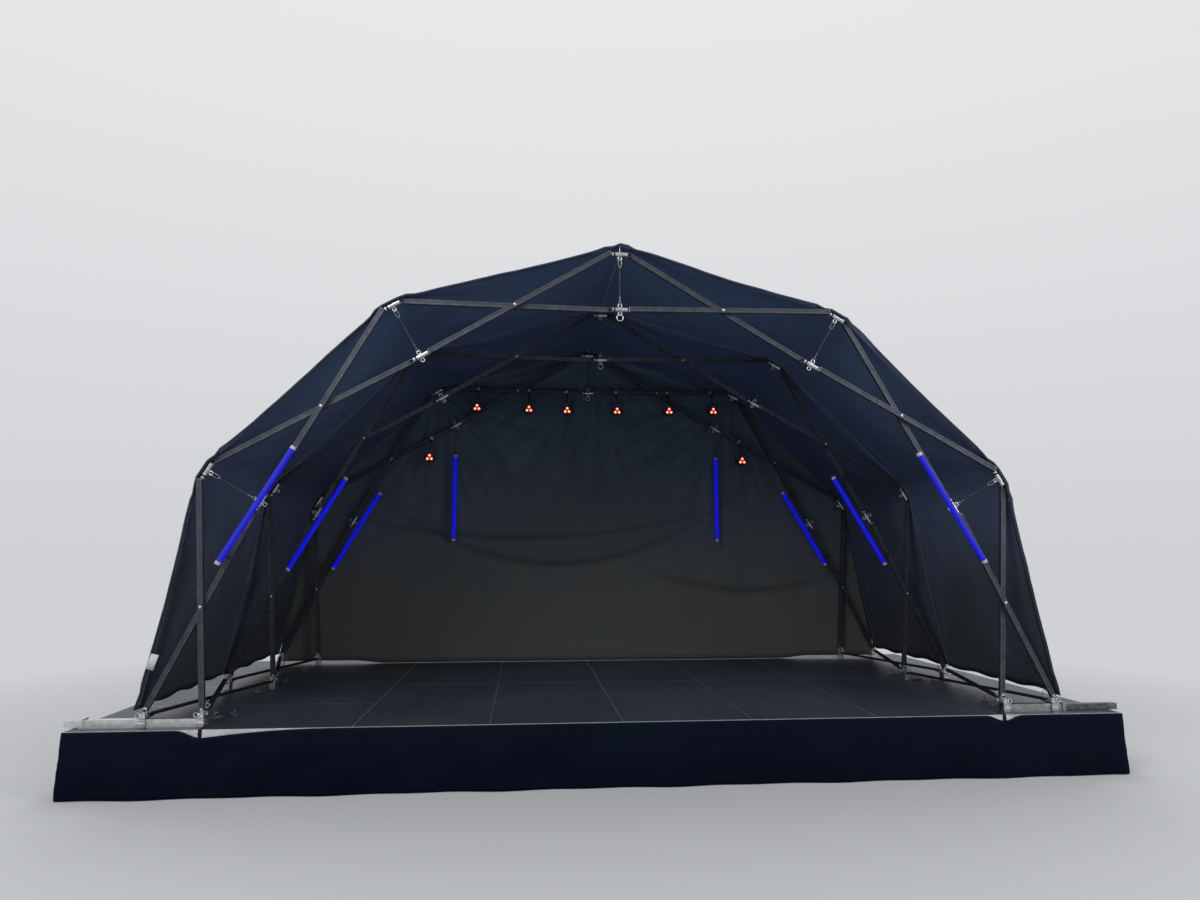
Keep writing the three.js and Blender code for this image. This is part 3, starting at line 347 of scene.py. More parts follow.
class Form:
    """Closed forms gathered into one mesh object."""

    def __init__(self):
        self.mesh = bmesh.new()

    def rod(self, start, end, radius, sides=20, end_radius=None):
        start, end = Vector(start), Vector(end)
        along = end - start
        matrix = Matrix.Translation((start + end) / 2) @ Z.rotation_difference(along).to_matrix().to_4x4()
        bmesh.ops.create_cone(
            self.mesh, cap_ends=True, segments=sides, radius1=radius,
            radius2=radius if end_radius is None else end_radius, depth=along.length, matrix=matrix,
        )
        return self

    def block(self, x, half, ys, zs):
        """A box about x, between two places in Y and two in Z."""
        low, high = Vector((x - half, ys[0], zs[0])), Vector((x + half, ys[1], zs[1]))
        size = Matrix.Diagonal((*(high - low), 1))
        bmesh.ops.create_cube(self.mesh, size=1, matrix=Matrix.Translation((low + high) / 2) @ size)
        return self

    def dome(self, centre, radius, flatness, sides):
        """A ball that is flattened along Y."""
        made = bmesh.ops.create_uvsphere(self.mesh, u_segments=sides, v_segments=sides // 2, radius=radius)
        matrix = Matrix.Translation(centre) @ Matrix.Diagonal((1, flatness, 1, 1))
        bmesh.ops.transform(self.mesh, matrix=matrix, verts=made["verts"])

    def skin(self, rings, closed=False):
        """Faces between rings of vertices, and over the ends of an open run."""
        for first, second in zip(rings, rings[1:] + rings[:closed]):
            for corners in zip(first, first[1:] + first[:1], second[1:] + second[:1], second):
                self.mesh.faces.new(corners)
        if not closed:
            self.mesh.faces.new(rings[0][::-1])
            self.mesh.faces.new(rings[-1])
        return self

    def prism(self, outline, start, end, side, up):
        """An outline of (side, up) points, drawn along from start to end."""
        ends = [Vector(start), Vector(end)]
        return self.skin([[self.mesh.verts.new(at + side * a + up * b) for a, b in outline] for at in ends])

    def loop(self, points, radius, sides=10, closed=True):
        """A round wire along points."""
        count = len(points)
        points = [Vector(point) for point in points]
        angles = [2 * pi * k / sides for k in range(sides)]
        rings = []
        normal = None
        for i, point in enumerate(points):
            before = points[(i - 1) % count] if closed or i else point
            after = points[(i + 1) % count] if closed or i < count - 1 else point
            along = (after - before).normalized()
            if normal is None:
                normal = along.orthogonal().normalized()
            normal = (normal - along * normal.dot(along)).normalized()
            side = along.cross(normal)
            around = [point + (normal * cos(a) + side * sin(a)) * radius for a in angles]
            rings.append([self.mesh.verts.new(place) for place in around])
        return self.skin(rings, closed)

    def ring(self, centre, radius, wire, first, second, steps=20):
        """A round ring in the plane of two directions."""
        angles = [2 * pi * k / steps for k in range(steps)]
        points = [Vector(centre) + (first * cos(a) + second * sin(a)) * radius for a in angles]
        return self.loop(points, wire)

    def spun(self, angle, x, y, z):
        """Turns everything made so far about Y, and puts it in place."""
        matrix = Matrix.Translation((x, y, z)) @ Matrix.Rotation(angle, 4, "Y")
        bmesh.ops.transform(self.mesh, matrix=matrix, verts=self.mesh.verts)
        return self

    def moved(self, x, y, z):
        bmesh.ops.translate(self.mesh, vec=(x, y, z), verts=self.mesh.verts)
        return self

    def done(self, name, material, slot, body="stage", bevel=0):
        """The finished object."""
        bmesh.ops.recalc_face_normals(self.mesh, faces=self.mesh.faces)
        data = bpy.data.meshes.new(name)
        self.mesh.to_mesh(data)
        self.mesh.free()
        piece = new_piece(name, data, slot, body, material)
        data.set_sharp_from_angle(angle=radians(35))
        if bevel:
            edges = piece.modifiers.new("edges", "BEVEL")
            edges.width, edges.segments = bevel, 2
            edges.limit_method, edges.angle_limit = "ANGLE", radians(40)
        return piece


def sheet_object(name, rows, thickness, *materials):
    """A sheet of cloth through rows of points. A second finish is for its other side."""
    data = bpy.data.meshes.new(name)
    width = len(rows[0])
    starts = [r * width + c for r in range(len(rows) - 1) for c in range(width - 1)]
    faces = [(k, k + 1, k + width + 1, k + width) for k in starts]
    data.from_pydata([point for row in rows for point in row], [], faces)
    piece = new_piece(name, data, "cloth", "stage", *materials)
    solid = piece.modifiers.new("cloth", "SOLIDIFY")
    solid.thickness, solid.offset = thickness, 0
    solid.material_offset = len(materials) - 1
    return piece


# Arch geometry, in X and Z, with Z above the deck. Chains p and q cross in each unit.


def hub_angle(index):
    return (index - UNITS / 2) * UNIT_ANGLE


def is_outer(chain, index):
    return (chain == "p") == (index % 2 == 1)


def hub_centre(outer, index):
    if index in (0, UNITS):
        foot_x = OUTER_FOOT_X if outer else INNER_FOOT_X
        return foot_x if index else -foot_x, FOOT_PIN_RISE
    radius = OUTER_RADIUS if outer else INNER_RADIUS
    return radius * sin(hub_angle(index)), CENTRE_RISE + radius * cos(hub_angle(index))


def hub_place(arch, outer, index):
    """The turn and the place of what is made about a hub."""
    x, z = hub_centre(outer, index)
    return hub_angle(index), x, ARCHES[arch], deck_top + z


def pin_point(chain, index, side):
    x, z = hub_centre(is_outer(chain, index), index)
    if index in (0, UNITS):
        return x, z
    angle, along = hub_angle(index), side * PIN_OFFSET
    return x + along * cos(angle), z - along * sin(angle)


def layer_side(chain, unit):
    return -1 if (chain == "p") == (unit % 2 == 1) else 1


def bar_ends(chain, unit):
    return pin_point(chain, unit - 1, 1), pin_point(chain, unit, -1)


def pivot_point(unit):
    (ax, az), (bx, bz) = bar_ends("p", unit)
    (cx, cz), (dx, dz) = bar_ends("q", unit)
    cross = (bx - ax) * (dz - cz) - (bz - az) * (dx - cx)
    share = ((cx - ax) * (dz - cz) - (cz - az) * (dx - cx)) / cross
    return between(ax, bx, share), between(az, bz, share)


# Bars, pivots, hubs, cables and feet
GROOVE_HALF, GROOVE_DEPTH = 0.0065, 0.003
CAP_THICKNESS, CAP_FILL = 0.003, 0.8
PIN_RADIUS, HEAD_RADIUS, HEAD_RISE, SPACER_RADIUS = 0.007, 0.0095, 0.002, 0.017
RIM_RADIUS, RIM_RISE, RIVET_RISE, RIVET_RADIUS, RIVET_TOP = 0.0115, 0.0025, 0.0055, 0.0105, 0.006
STANDOFF, PEAK_RISE, FLAT_REACH = 0.0306, 0.050, 0.075


def make_bar(arch, chain, unit):
    """A grooved bar with pale caps at both ends."""
    y = ARCHES[arch] + layer_side(chain, unit) * LAYER_CENTRE
    start, end = (Vector((x, y, deck_top + z)) for x, z in bar_ends(chain, unit))
    along = (end - start).normalized()
    up = along.cross(Y)
    start, end = start - along * BAR_OVERHANG, end + along * BAR_OVERHANG
    depth, width = BAR_DEPTH / 2, BAR_WIDTH / 2
    floor = depth - GROOVE_DEPTH
    half = [
        (depth, -width), (depth, -GROOVE_HALF), (floor, -GROOVE_HALF),
        (floor, GROOVE_HALF), (depth, GROOVE_HALF), (depth, width),
    ]
    outline = half + [(-a, -b) for a, b in half]
    name = f"{arch}_bar_{unit}_{chain}"
    shell = along * CAP_THICKNESS
    bar = Form().prism(outline, start + shell, end - shell, Y, up).done(name, ANODISED, "bar", bevel=0.0015)
    square = [(depth, -width), (depth, width), (-depth, width), (-depth, -width)]
    caps = Form().prism(square, start, start + shell * CAP_FILL, Y, up)
    caps.prism(square, end - shell * CAP_FILL, end, Y, up).done(f"{name}_caps", CAP, "bar", bevel=0.001)
    return bar


def bolt(form, x, z, side):
    """A low screw through one layer of bars, with its head on the outer face."""
    face = side * LAYER_OUTER
    form.rod((x, 0, z), (x, face, z), PIN_RADIUS)
    form.rod((x, face, z), (x, face + side * HEAD_RISE, z), HEAD_RADIUS)


def make_pivot(arch, unit):
    """The bright rivet through a crossing, with a spacer between the bars."""
    x, z = pivot_point(unit)
    form = Form()
    for side in (-1, 1):
        face, rim, top = (side * (LAYER_OUTER + rise) for rise in (0, RIM_RISE, RIVET_RISE))
        form.rod((x, 0, z), (x, face, z), PIN_RADIUS)
        form.rod((x, face, z), (x, rim, z), RIM_RADIUS, 24)
        form.rod((x, rim, z), (x, top, z), RIVET_RADIUS, 24, RIVET_TOP)
    form.rod((x, -LAYER_INNER, z), (x, LAYER_INNER, z), SPACER_RADIUS, 24)
    form.moved(0, ARCHES[arch], deck_top).done(f"{arch}_pivot_{unit}", SILVER, "fitting", bevel=0.0006)


HUB_RADIUS, HUB_NECK_RADIUS, COLLAR_RADIUS = 0.020, 0.0165, 0.019
SPINDLE_HALF, SPINDLE_RADIUS = 0.0645, 0.0115
COLLAR_SPAN, BARREL_SPANS = (-0.0645, -0.051), ((-0.037, -0.013), (-0.0105, 0.0355), (0.038, 0.0645))
LUG_START, LUG_END, LUG_HALF, LUG_THIN, LUG_EYE_RADIUS = 0.045, 0.093, 0.0195, 0.0035, 0.0135
EYE_RADIUS, EYE_WIRE, SHACKLE_RADIUS, SHACKLE_WIRE = 0.0145, 0.0045, 0.026, 0.0048
PROP_RADIUS, PROP_INSET = 0.0035, 0.002


def make_hub(arch, chain, index):
    """A turned barrel in lengths, with a collar, dark lugs to the bars, and eyes for hooks."""
    outer = is_outer(chain, index)
    place = hub_place(arch, outer, index)
    name = f"{arch}_hub_{'outer' if outer else 'inner'}_{index}"
    lugs = Form().rod((-SPINDLE_HALF, 0, 0), (SPINDLE_HALF, 0, 0), SPINDLE_RADIUS, 24)
    plate = [(-LUG_THIN, -LUG_HALF), (-LUG_THIN, LUG_HALF), (LUG_THIN, LUG_HALF), (LUG_THIN, -LUG_HALF)]
    for side in (-1, 1):
        pin_x = side * PIN_OFFSET
        lugs.prism(plate, (side * LUG_START, 0, 0), (side * LUG_END, 0, 0), Y, Z)
        lugs.rod((pin_x, -LUG_THIN, 0), (pin_x, LUG_THIN, 0), LUG_EYE_RADIUS, 28)
        bolt(lugs, pin_x, 0, layer_side(chain, index if side < 0 else index + 1))
    lugs.spun(*place).done(f"{name}_lugs", ANODISED, "bar", bevel=0.0008)
    form = Form().rod((COLLAR_SPAN[0], 0, 0), (COLLAR_SPAN[1], 0, 0), COLLAR_RADIUS, 32)
    for start, end in BARREL_SPANS:
        form.rod((start, 0, 0), (end, 0, 0), HUB_RADIUS, 36)
    form.rod((BARREL_SPANS[0][0], 0, 0), (BARREL_SPANS[-1][1], 0, 0), HUB_NECK_RADIUS, 32)
    form.ring((0, 0, -EYE_REACH), EYE_RADIUS, EYE_WIRE, X, Z)
    if not outer:
        form.ring((0, 0, EYE_REACH), EYE_RADIUS, EYE_WIRE, X, Z)
    if index == PEAK and not outer:
        drop = EYE_REACH + EYE_RADIUS + SHACKLE_RADIUS - 0.006
        form.ring((0, 0, -drop), SHACKLE_RADIUS, SHACKLE_WIRE, X, Z, 32)
    if index == PEAK and outer:
        prop_top = STANDOFF + PEAK_RISE - PROP_INSET
        form.rod((0, 0, HUB_RADIUS - PROP_INSET), (0, 0, prop_top), PROP_RADIUS, 12)
    form.spun(*place).done(name, SILVER, "fitting", bevel=0.001)


STADIUM_STEPS = 10
WIRE_RADIUS, FERRULE_RADIUS, FERRULE_END = 0.0014, 0.005, 0.0035
HOOK_LENGTH, HOOK_WIDTH, HOOK_WIRE = 0.074, 0.026, 0.0034
FORK_LENGTH, FORK_WIDTH, FORK_WIRE = 0.052, 0.024, 0.0026


def stadium(length, width, top):
    """Points of an oblong loop in X and Z that hangs down from its top."""
    radius = width / 2
    points = []
    for start, centre in ((0, top - radius), (pi, top - length + radius)):
        for k in range(STADIUM_STEPS + 1):
            a = start + pi * k / STADIUM_STEPS
            points.append(Vector((-radius * cos(a), 0, centre + radius * sin(a))))
    return points


def make_cable(arch, index):
    """A wire between two hubs, with a snap hook above, and a ferrule and fork below."""
    top = 0.004 - EYE_REACH
    low = EYE_REACH - 0.006 - (OUTER_RADIUS - INNER_RADIUS)
    place = hub_place(arch, True, index)
    hook = Form().loop(stadium(HOOK_LENGTH, HOOK_WIDTH, top - 0.004), HOOK_WIRE, 14)
    gate, hook_low = HOOK_WIDTH / 2, top - HOOK_LENGTH
    hook.rod((gate, 0, top - 0.028), (gate, 0, top - 0.058), 0.0062, 14)
    hook.rod((0, 0, hook_low + 0.004), (0, 0, hook_low - 0.016), 0.0058, 16)
    hook.loop(stadium(FORK_LENGTH, FORK_WIDTH, low + 0.044), FORK_WIRE, 14)
    hook.rod((0, 0, low + 0.036), (0, 0, low + 0.092), FERRULE_RADIUS, 16, FERRULE_END)
    hook.spun(*place).done(f"{arch}_cable_hooks_{index}", DULL, "cable")
    wire = Form().rod((0, 0, hook_low - 0.01), (0, 0, low + 0.06), WIRE_RADIUS, 10)
    wire.spun(*place).done(f"{arch}_cable_{index}", STEEL, "cable")


FOOT_HALF, FOOT_DEPTH, FOOT_LOW, FOOT_TOP = 0.024, 0.046, 0.001, 0.072
# The front feet straddle a base beam: a saddle over it, and a cheek on both sides
SADDLE_LOW, CHEEK_Y, CHEEK_TOP = 0.062, 0.0325, 0.068
PLATE_HALF, PLATE_RADIUS, EAR_HALF, EAR_YS = 0.0037, 0.017, 0.015, (0.0225, 0.026)
RING_Y, RING_RISE = -0.03, 0.084
TAB_HALF, TAB_START, TAB_REACH, TAB_TOP, STUD_Y, STUD_TOP = 0.023, 0.043, 0.110, 0.068, 0.086, 0.122
TAB_SIDES = {"front": (1,), "middle": (-1, 1), "rear": (-1,)}


def make_foot(arch, chain, index):
    """A post with a lug for the bar, tabs for the braces, studs, lock rings and a side ring."""
    x, z = pin_point(chain, index, 1)
    hand, out, unit = ("left", -1, 1) if index == 0 else ("right", 1, UNITS)
    low = SADDLE_LOW if arch == "front" else FOOT_LOW
    form = Form().block(0, FOOT_HALF, about(0, FOOT_DEPTH), (low, FOOT_TOP))
    if arch == "front":
        form.block(0, FOOT_HALF, (-FOOT_DEPTH, -CHEEK_Y), (FOOT_LOW, CHEEK_TOP))
        form.block(0, FOOT_HALF, (CHEEK_Y, FOOT_DEPTH), (FOOT_LOW, CHEEK_TOP))
        form.block(0, FOOT_HALF + 0.007, (-FOOT_DEPTH - 0.004, -FOOT_DEPTH + 0.002), (0.02, 0.034))
    form.block(0, PLATE_RADIUS, about(0, PLATE_HALF), (0.07, z))
    form.rod((0, -PLATE_HALF, z), (0, PLATE_HALF, z), PLATE_RADIUS, 28)
    for side in (-1, 1):
        form.block(0, EAR_HALF, sorted(side * y for y in EAR_YS), (0.07, 0.098))
    form.ring((out * 0.036, RING_Y, RING_RISE), 0.0165, 0.0036, X, Z, 24)
    form.rod(*((out * reach, RING_Y, RING_RISE) for reach in (0.012, 0.024)), 0.006, 14)
    for side in TAB_SIDES[arch]:
        form.block(0, TAB_HALF, sorted((side * TAB_START, side * TAB_REACH)), (TAB_TOP - 0.008, TAB_TOP))
        form.rod((0, side * STUD_Y, TAB_TOP - 0.002), (0, side * STUD_Y, STUD_TOP), 0.009)
        form.ring((0, side * STUD_Y, STUD_TOP + 0.008), 0.0155, 0.0032, X, Z, 24)
    bolt(form, 0, z, layer_side(chain, unit))
    name = f"{arch}_foot_{'outer' if is_outer(chain, index) else 'inner'}_{hand}"
    form.moved(x, ARCHES[arch], deck_top).done(name, SILVER, "fitting", bevel=0.0015)


arch_nodes = {arch: [f"{arch}_arch_chain_{part}" for part in "ab"] for arch in ("middle", "rear")}
arch_nodes["front"] = [n for n in nodes if n.startswith(("scissor_bar", "tension_cable", "front_foot"))]
for arch in ARCHES:
    for unit in range(1, UNITS + 1):
        make_pivot(arch, unit)
        for chain in "pq":
            bar = make_bar(arch, chain, unit)
    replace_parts(bar, *arch_nodes[arch])
    for index in range(1, UNITS):
        make_cable(arch, index)
        for chain in "pq":
            make_hub(arch, chain, index)
    for index in (0, UNITS):
        for chain in "pq":
            make_foot(arch, chain, index)


# Light tubes
TUBE_RADIUS, TUBE_LENGTH = 0.020, 1.035
TUBE_LIFT = LAYER_OUTER + 0.016 + TUBE_RADIUS
TUBE_CAP, LIT_RADIUS, CAP_RADIUS, CAP_LIP = 0.024, 0.0238, 0.0225, 0.0012
TUBE_INSETS = {"left": (0, 0.065, 0.1), "right": (0.05, 0.12, 0.115)}
TUBE_DROPS = {"left": (0.025, 0.07, 0.065), "right": (-0.015, -0.02, 0.005)}
CLAMP_REACH, ARM_HALF, ARM_RISE = 0.44, 0.007, 0.009
UPRIGHT_DROP, HANGER_RADIUS = 0.36, 0.003


def bar_offset(index, unit, along):
    """How far a bar of chain q lies outside an inner hub's line, at a place along it."""
    c, s = cos(hub_angle(index)), sin(hub_angle(index))
    x, z = hub_centre(False, index)
    ends = [(px - x, pz - z) for px, pz in bar_ends("q", unit)]
    (ax, az), (bx, bz) = ((px * c - pz * s, px * s + pz * c) for px, pz in ends)
    return between(az, bz, (along - ax) / (bx - ax))


def make_tube(name, place, clamps=()):
    """A lit tube along X with pale caps and clamp arms, in place of its solid."""
    half = TUBE_LENGTH / 2
    lit = Form().rod((TUBE_CAP - half, 0, 0), (half - TUBE_CAP, 0, 0), LIT_RADIUS, 28)
    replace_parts(lit.spun(*place).done(f"{name}_glow", TUBE, "light_tube"), name)
    caps = Form()
    for side in (-1, 1):
        near, far = (side * (half - TUBE_CAP), 0, 0), (side * half, 0, 0)
        caps.rod(*sorted((near, far)), CAP_RADIUS, 28)
        caps.ring(near, LIT_RADIUS, CAP_LIP, Y, Z, 28)
    caps.spun(*place).done(f"{name}_caps", CAP, "light_tube", bevel=0.001)
    arms = Form()
    for x, reach, bar_z in clamps:
        low, high = sorted((0, bar_z))
        arms.block(x, ARM_HALF, about(TUBE_RADIUS + 0.001, 0.005), (low - ARM_RISE, high + ARM_RISE))
        arms.block(x, ARM_HALF, (TUBE_RADIUS + 0.002, reach), about(bar_z, ARM_RISE))
    if clamps:
        arms.spun(*place).done(f"{name}_arms", BLACK_METAL, "lamp", bevel=0.001)


for row, (arch, y) in enumerate(ARCHES.items()):
    for index, hand, side in ((1, "left", -1), (UNITS - 1, "right", 1)):
        angle = hub_angle(index)
        x, z = hub_centre(False, index)
        inset, shift = TUBE_INSETS[hand][row], side * TUBE_DROPS[hand][row]
        place = (
            angle,
            x + shift * cos(angle) - inset * sin(angle),
            y - TUBE_LIFT,
            deck_top + z - shift * sin(angle) - inset * cos(angle),
        )
        clamps = []
        for offset, unit in ((-CLAMP_REACH, index), (CLAMP_REACH, index + 1)):
            face = -LAYER_OUTER if layer_side("q", unit) < 0 else LAYER_INNER
            bar_z = inset + bar_offset(index, unit, offset + shift)
            clamps.append((offset, TUBE_LIFT + face - 0.0005, bar_z))
        make_tube(f"led_tube_{arch}_{hand}", place, clamps)

for index, hand in ((2, "left"), (4, "right")):
    x, z = hub_centre(False, index)
    place = (pi / 2, x, rear_y, deck_top + z - UPRIGHT_DROP - TUBE_LENGTH / 2)
    make_tube(f"led_tube_upright_{hand}", place)
    angle = hub_angle(index)
    eye = Vector((-EYE_REACH * sin(angle), 0, -EYE_REACH * cos(angle) - 0.016))
    points = [eye + Z * 0.001, eye - Z * 0.02, Z * (eye.z - 0.045), -Z * UPRIGHT_DROP]
    hanger = Form().loop(points, HANGER_RADIUS, closed=False)
    hanger.moved(x, rear_y, deck_top + z).done(f"hanger_{hand}", WEBBING, "cable")


# Lamps
LAMP_RADIUS, LAMP_FRONT, LAMP_REAR, SHOULDER = 0.054, 0.066, 0.058, -0.036
RING_PITCH, RING_WIDTH = 0.016, 0.005
LENS_RADIUS, LENS_OFFSET, CORE_RADIUS = 0.0195, 0.0265, 0.0105
YOKE_INNER, YOKE_WALL, YOKE_LOW, YOKE_RISE, YOKE_HALF = 0.063, 0.004, -0.018, 0.106, 0.013
CLAMP_HALF, CLAMP_WALL = 0.017, 0.004
WIDE_LAMP_X = 1.7


def make_lamp(number):
    """A lamp with cooling rings and three lenses, on a yoke that a clamp holds."""
    body = f"lamp_{number}"
    joint = next(j for j in frame["joints"] if j["child"] == body)
    place = x, y, z = joint["pos_m"]
    can = Form().rod((0, SHOULDER, 0), (0, 0.002 - LAMP_FRONT, 0), LAMP_RADIUS - 0.001, 40)
    can.rod((0, SHOULDER, 0), (0, LAMP_REAR - 0.006, 0), LAMP_RADIUS - 0.006, 40, LAMP_RADIUS - 0.014)
    for k in range(5):
        at = SHOULDER + 0.006 + RING_PITCH * k
        can.rod((0, at, 0), (0, at + RING_WIDTH, 0), LAMP_RADIUS - 0.0015 * k, 40)
    can.ring((0, -LAMP_FRONT, 0), LAMP_RADIUS - 0.003, 0.003, X, Z, 40)
    for side in (-1, 1):
        can.rod((side * 0.045, 0, 0), (side * 0.074, 0, 0), 0.0065, 16)
        can.rod((side * 0.0685, 0, 0), (side * 0.079, 0, 0), 0.0135, 10)
    can.moved(*place)
    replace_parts(can.done(f"lamp_can_{number}", BODY, "lamp", body, bevel=0.0008), f"lamp_head_{number}")
    lenses, cores, collars = Form(), Form(), Form()
    for k in range(3):
        a = pi / 2 + 2 * pi * k / 3
        lens_x, lens_z = LENS_OFFSET * cos(a), LENS_OFFSET * sin(a)
        lenses.dome((lens_x, 0.001 - LAMP_FRONT, lens_z), LENS_RADIUS, 0.4, 20)
        cores.dome((lens_x, -LAMP_FRONT - 0.0055, lens_z), CORE_RADIUS, 0.3, 16)
        collars.ring((lens_x, -LAMP_FRONT - 0.001, lens_z), LENS_RADIUS + 0.001, 0.0022, X, Z, 24)
    fronts = {"lenses": (lenses, LENS), "cores": (cores, CORE), "collars": (collars, BODY)}
    for kind, (form, material) in fronts.items():
        form.moved(*place).done(f"lamp_{kind}_{number}", material, "lamp", body)
    inner, outer, top = YOKE_INNER, YOKE_INNER + YOKE_WALL, YOKE_RISE + YOKE_WALL
    fork = [
        (-outer, YOKE_LOW), (-inner, YOKE_LOW), (-inner, YOKE_RISE), (inner, YOKE_RISE),
        (inner, YOKE_LOW), (outer, YOKE_LOW), (outer, top), (-outer, top),
    ]
    yoke = Form().prism(fork, (0, -YOKE_HALF, 0), (0, YOKE_HALF, 0), X, Z)
    yoke.moved(*place).done(f"lamp_yoke_{number}", BLACK_METAL, "lamp", bevel=0.0012)
    chain, unit = ("p", 2 if x < 0 else 5) if abs(x) > WIDE_LAMP_X else ("q", 3 if x < 0 else 4)
    (ax, az), (bx, bz) = bar_ends(chain, unit)
    centre = deck_top + between(az, bz, (x - ax) / (bx - ax))
    under = centre - hypot(bx - ax, bz - az) / (bx - ax) * BAR_WIDTH / 2
    bar_y = rear_y + layer_side(chain, unit) * LAYER_CENTRE
    depth, width = BAR_DEPTH / 2 + CLAMP_WALL, BAR_WIDTH / 2 + CLAMP_WALL
    clamp = Form().block(0, CLAMP_HALF, (-depth, -depth + CLAMP_WALL), (-width, width))
    clamp.block(0, CLAMP_HALF, (-depth, depth), (-width, -width + CLAMP_WALL))
    clamp.block(0, CLAMP_HALF, (-depth, depth), (width - CLAMP_WALL, width))
    clamp.rod((0, -depth - 0.012, 0), (0, -depth + 0.002, 0), PIN_RADIUS, 6)
    clamp.spun(-atan2(bz - az, bx - ax), x, bar_y, centre)
    clamp.done(f"lamp_clamp_{number}", SILVER, "fitting", bevel=0.001)
    arm = Form().block(x, 0.015, (y - 0.015, bar_y + 0.01), (under - 0.024, under - 0.006))
    arm.rod((x, y, z + YOKE_RISE), (x, y, under - 0.01), 0.008, 16)
    arm.rod((x, y, z + top), (x, y, z + YOKE_RISE + 0.012), 0.012, 6)
    arm.done(f"lamp_arm_{number}", BLACK_METAL, "lamp", bevel=0.0012)


for number in range(1, 9):
    make_lamp(number)


# Cloth. Its grids are rows of points.
HEM_RISE, HEM_OUT = 0.122, 0.057
FRONT_REACH, REAR_REACH = 0.034, 0.096
CLOTH_OFFSET, CLOTH_THICKNESS, BAND_THICKNESS, TAG_THICKNESS = 0.004, 0.002, 0.0024, 0.001


def wrinkle(x, y, z, scale, amount):
    """Small creases, the same on every run."""
    point = Vector((x, y, z)) * scale
    return amount * (noise.noise(point) + 0.5 * noise.noise(point * 2.3))


def smooth(share):
    share = min(max(share, 0), 1)
    return share * share * (3 - 2 * share)


def cover_corners(offset):
    """Corners from the left hem to the right: flat over the hubs, and pointed above the peak."""
    standoff, hem_out = STANDOFF + offset, HEM_OUT + offset
    corners = [(-OUTER_FOOT_X - hem_out, HEM_RISE)]
    for index in range(1, UNITS):
        angle = hub_angle(index)
        radius = OUTER_RADIUS + standoff + (PEAK_RISE if index == PEAK else 0)
        for side in (0,) if index == PEAK else (-1, 1):
            along = side * FLAT_REACH
            x = radius * sin(angle) + along * cos(angle)
            corners.append((x, CENTRE_RISE + radius * cos(angle) - along * sin(angle)))
    corners.append((OUTER_FOOT_X + hem_out, HEM_RISE))
    return corners


FACET_STEPS, FLAT_STEPS, BAY_STEPS = 28, 4, 44
FACET_SAG, BAY_SAG, EDGE_FADE = 0.014, 0.038, 0.2
HUB_CREASES, CREASE_REACH, CREASE_HEIGHT, CREASE_START = 13, 0.5, 0.011, 0.08
SCALLOP_COUNT, SCALLOP_HEIGHT, SCALLOP_NOISE, SCALLOP_REACH = 7, 0.017, 0.010, 5


def cover_rows():
    corners = cover_corners(CLOTH_OFFSET)
    low_y, high_y = front_y - FRONT_REACH, rear_y + REAR_REACH + 0.004
    count = 2 * BAY_STEPS
    rows = []
    for i in range(count + 1):
        y = between(low_y, high_y, i / count)
        bay = min(max((y - front_y) / SPACING, 0), 2)
        across = sin(pi * (bay % 1)) ** 2 if bay < 2 else 0
        nearest = front_y + round(bay) * SPACING
        loose = min(1, (high_y - y) / EDGE_FADE)
        row = []
        for facet, ((ax, az), (bx, bz)) in enumerate(zip(corners, corners[1:])):
            length = hypot(bx - ax, bz - az)
            in_x, in_z = (bz - az) / length, (ax - bx) / length
            hangs = length > 3 * FLAT_REACH
            steps = FACET_STEPS if hangs else FLAT_STEPS
            for step in range(steps + (facet == len(corners) - 2)):
                share = step / steps
                x, z = between(ax, bx, share), between(az, bz, share)
                sag = loose * wrinkle(x, y, z, 7, 0.0018)
                if hangs:
                    belly = sin(pi * share)
                    end = share if share < 0.5 else share - 1
                    away = hypot(end * length, y - nearest)
                    turn = atan2(y - nearest, end * length)
                    crease = exp(-away / CREASE_REACH) * min(1, away / CREASE_START)
                    sag += belly * (FACET_SAG + BAY_SAG * across + loose * wrinkle(x, y, z, 2.1, 0.008))
                    sag += loose * CREASE_HEIGHT * crease * sin(HUB_CREASES * turn + facet)
                row.append([x + in_x * sag, y, deck_top + z + in_z * sag])
        scallop = (1 - cos(2 * pi * SCALLOP_COUNT * (y - front_y) / (2 * SPACING))) / 2
        for end, step in ((0, 1), (-1, -1)):
            jitter = 0.5 + noise.noise(Vector((3.1 * y, 5 * end, 0)))
            rise = SCALLOP_HEIGHT * scallop + SCALLOP_NOISE * jitter
            for k in range(SCALLOP_REACH):
                row[end + step * k][2] += rise * (1 - k / SCALLOP_REACH) ** 2
        rows.append(row)
    return rows


def inside(point, depth):
    """A point of the cover moved towards the middle of its arch."""
    point = Vector(point)
    centre = Vector((0, point.y, deck_top + CENTRE_RISE))
    return point + (centre - point).normalized() * depth


cover_grid = cover_rows()
front_edge = cover_grid[0]
cover = sheet_object("cover", cover_grid, CLOTH_THICKNESS, COVER, COVER_INSIDE_LIGHT)
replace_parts(cover, "roof_cover")

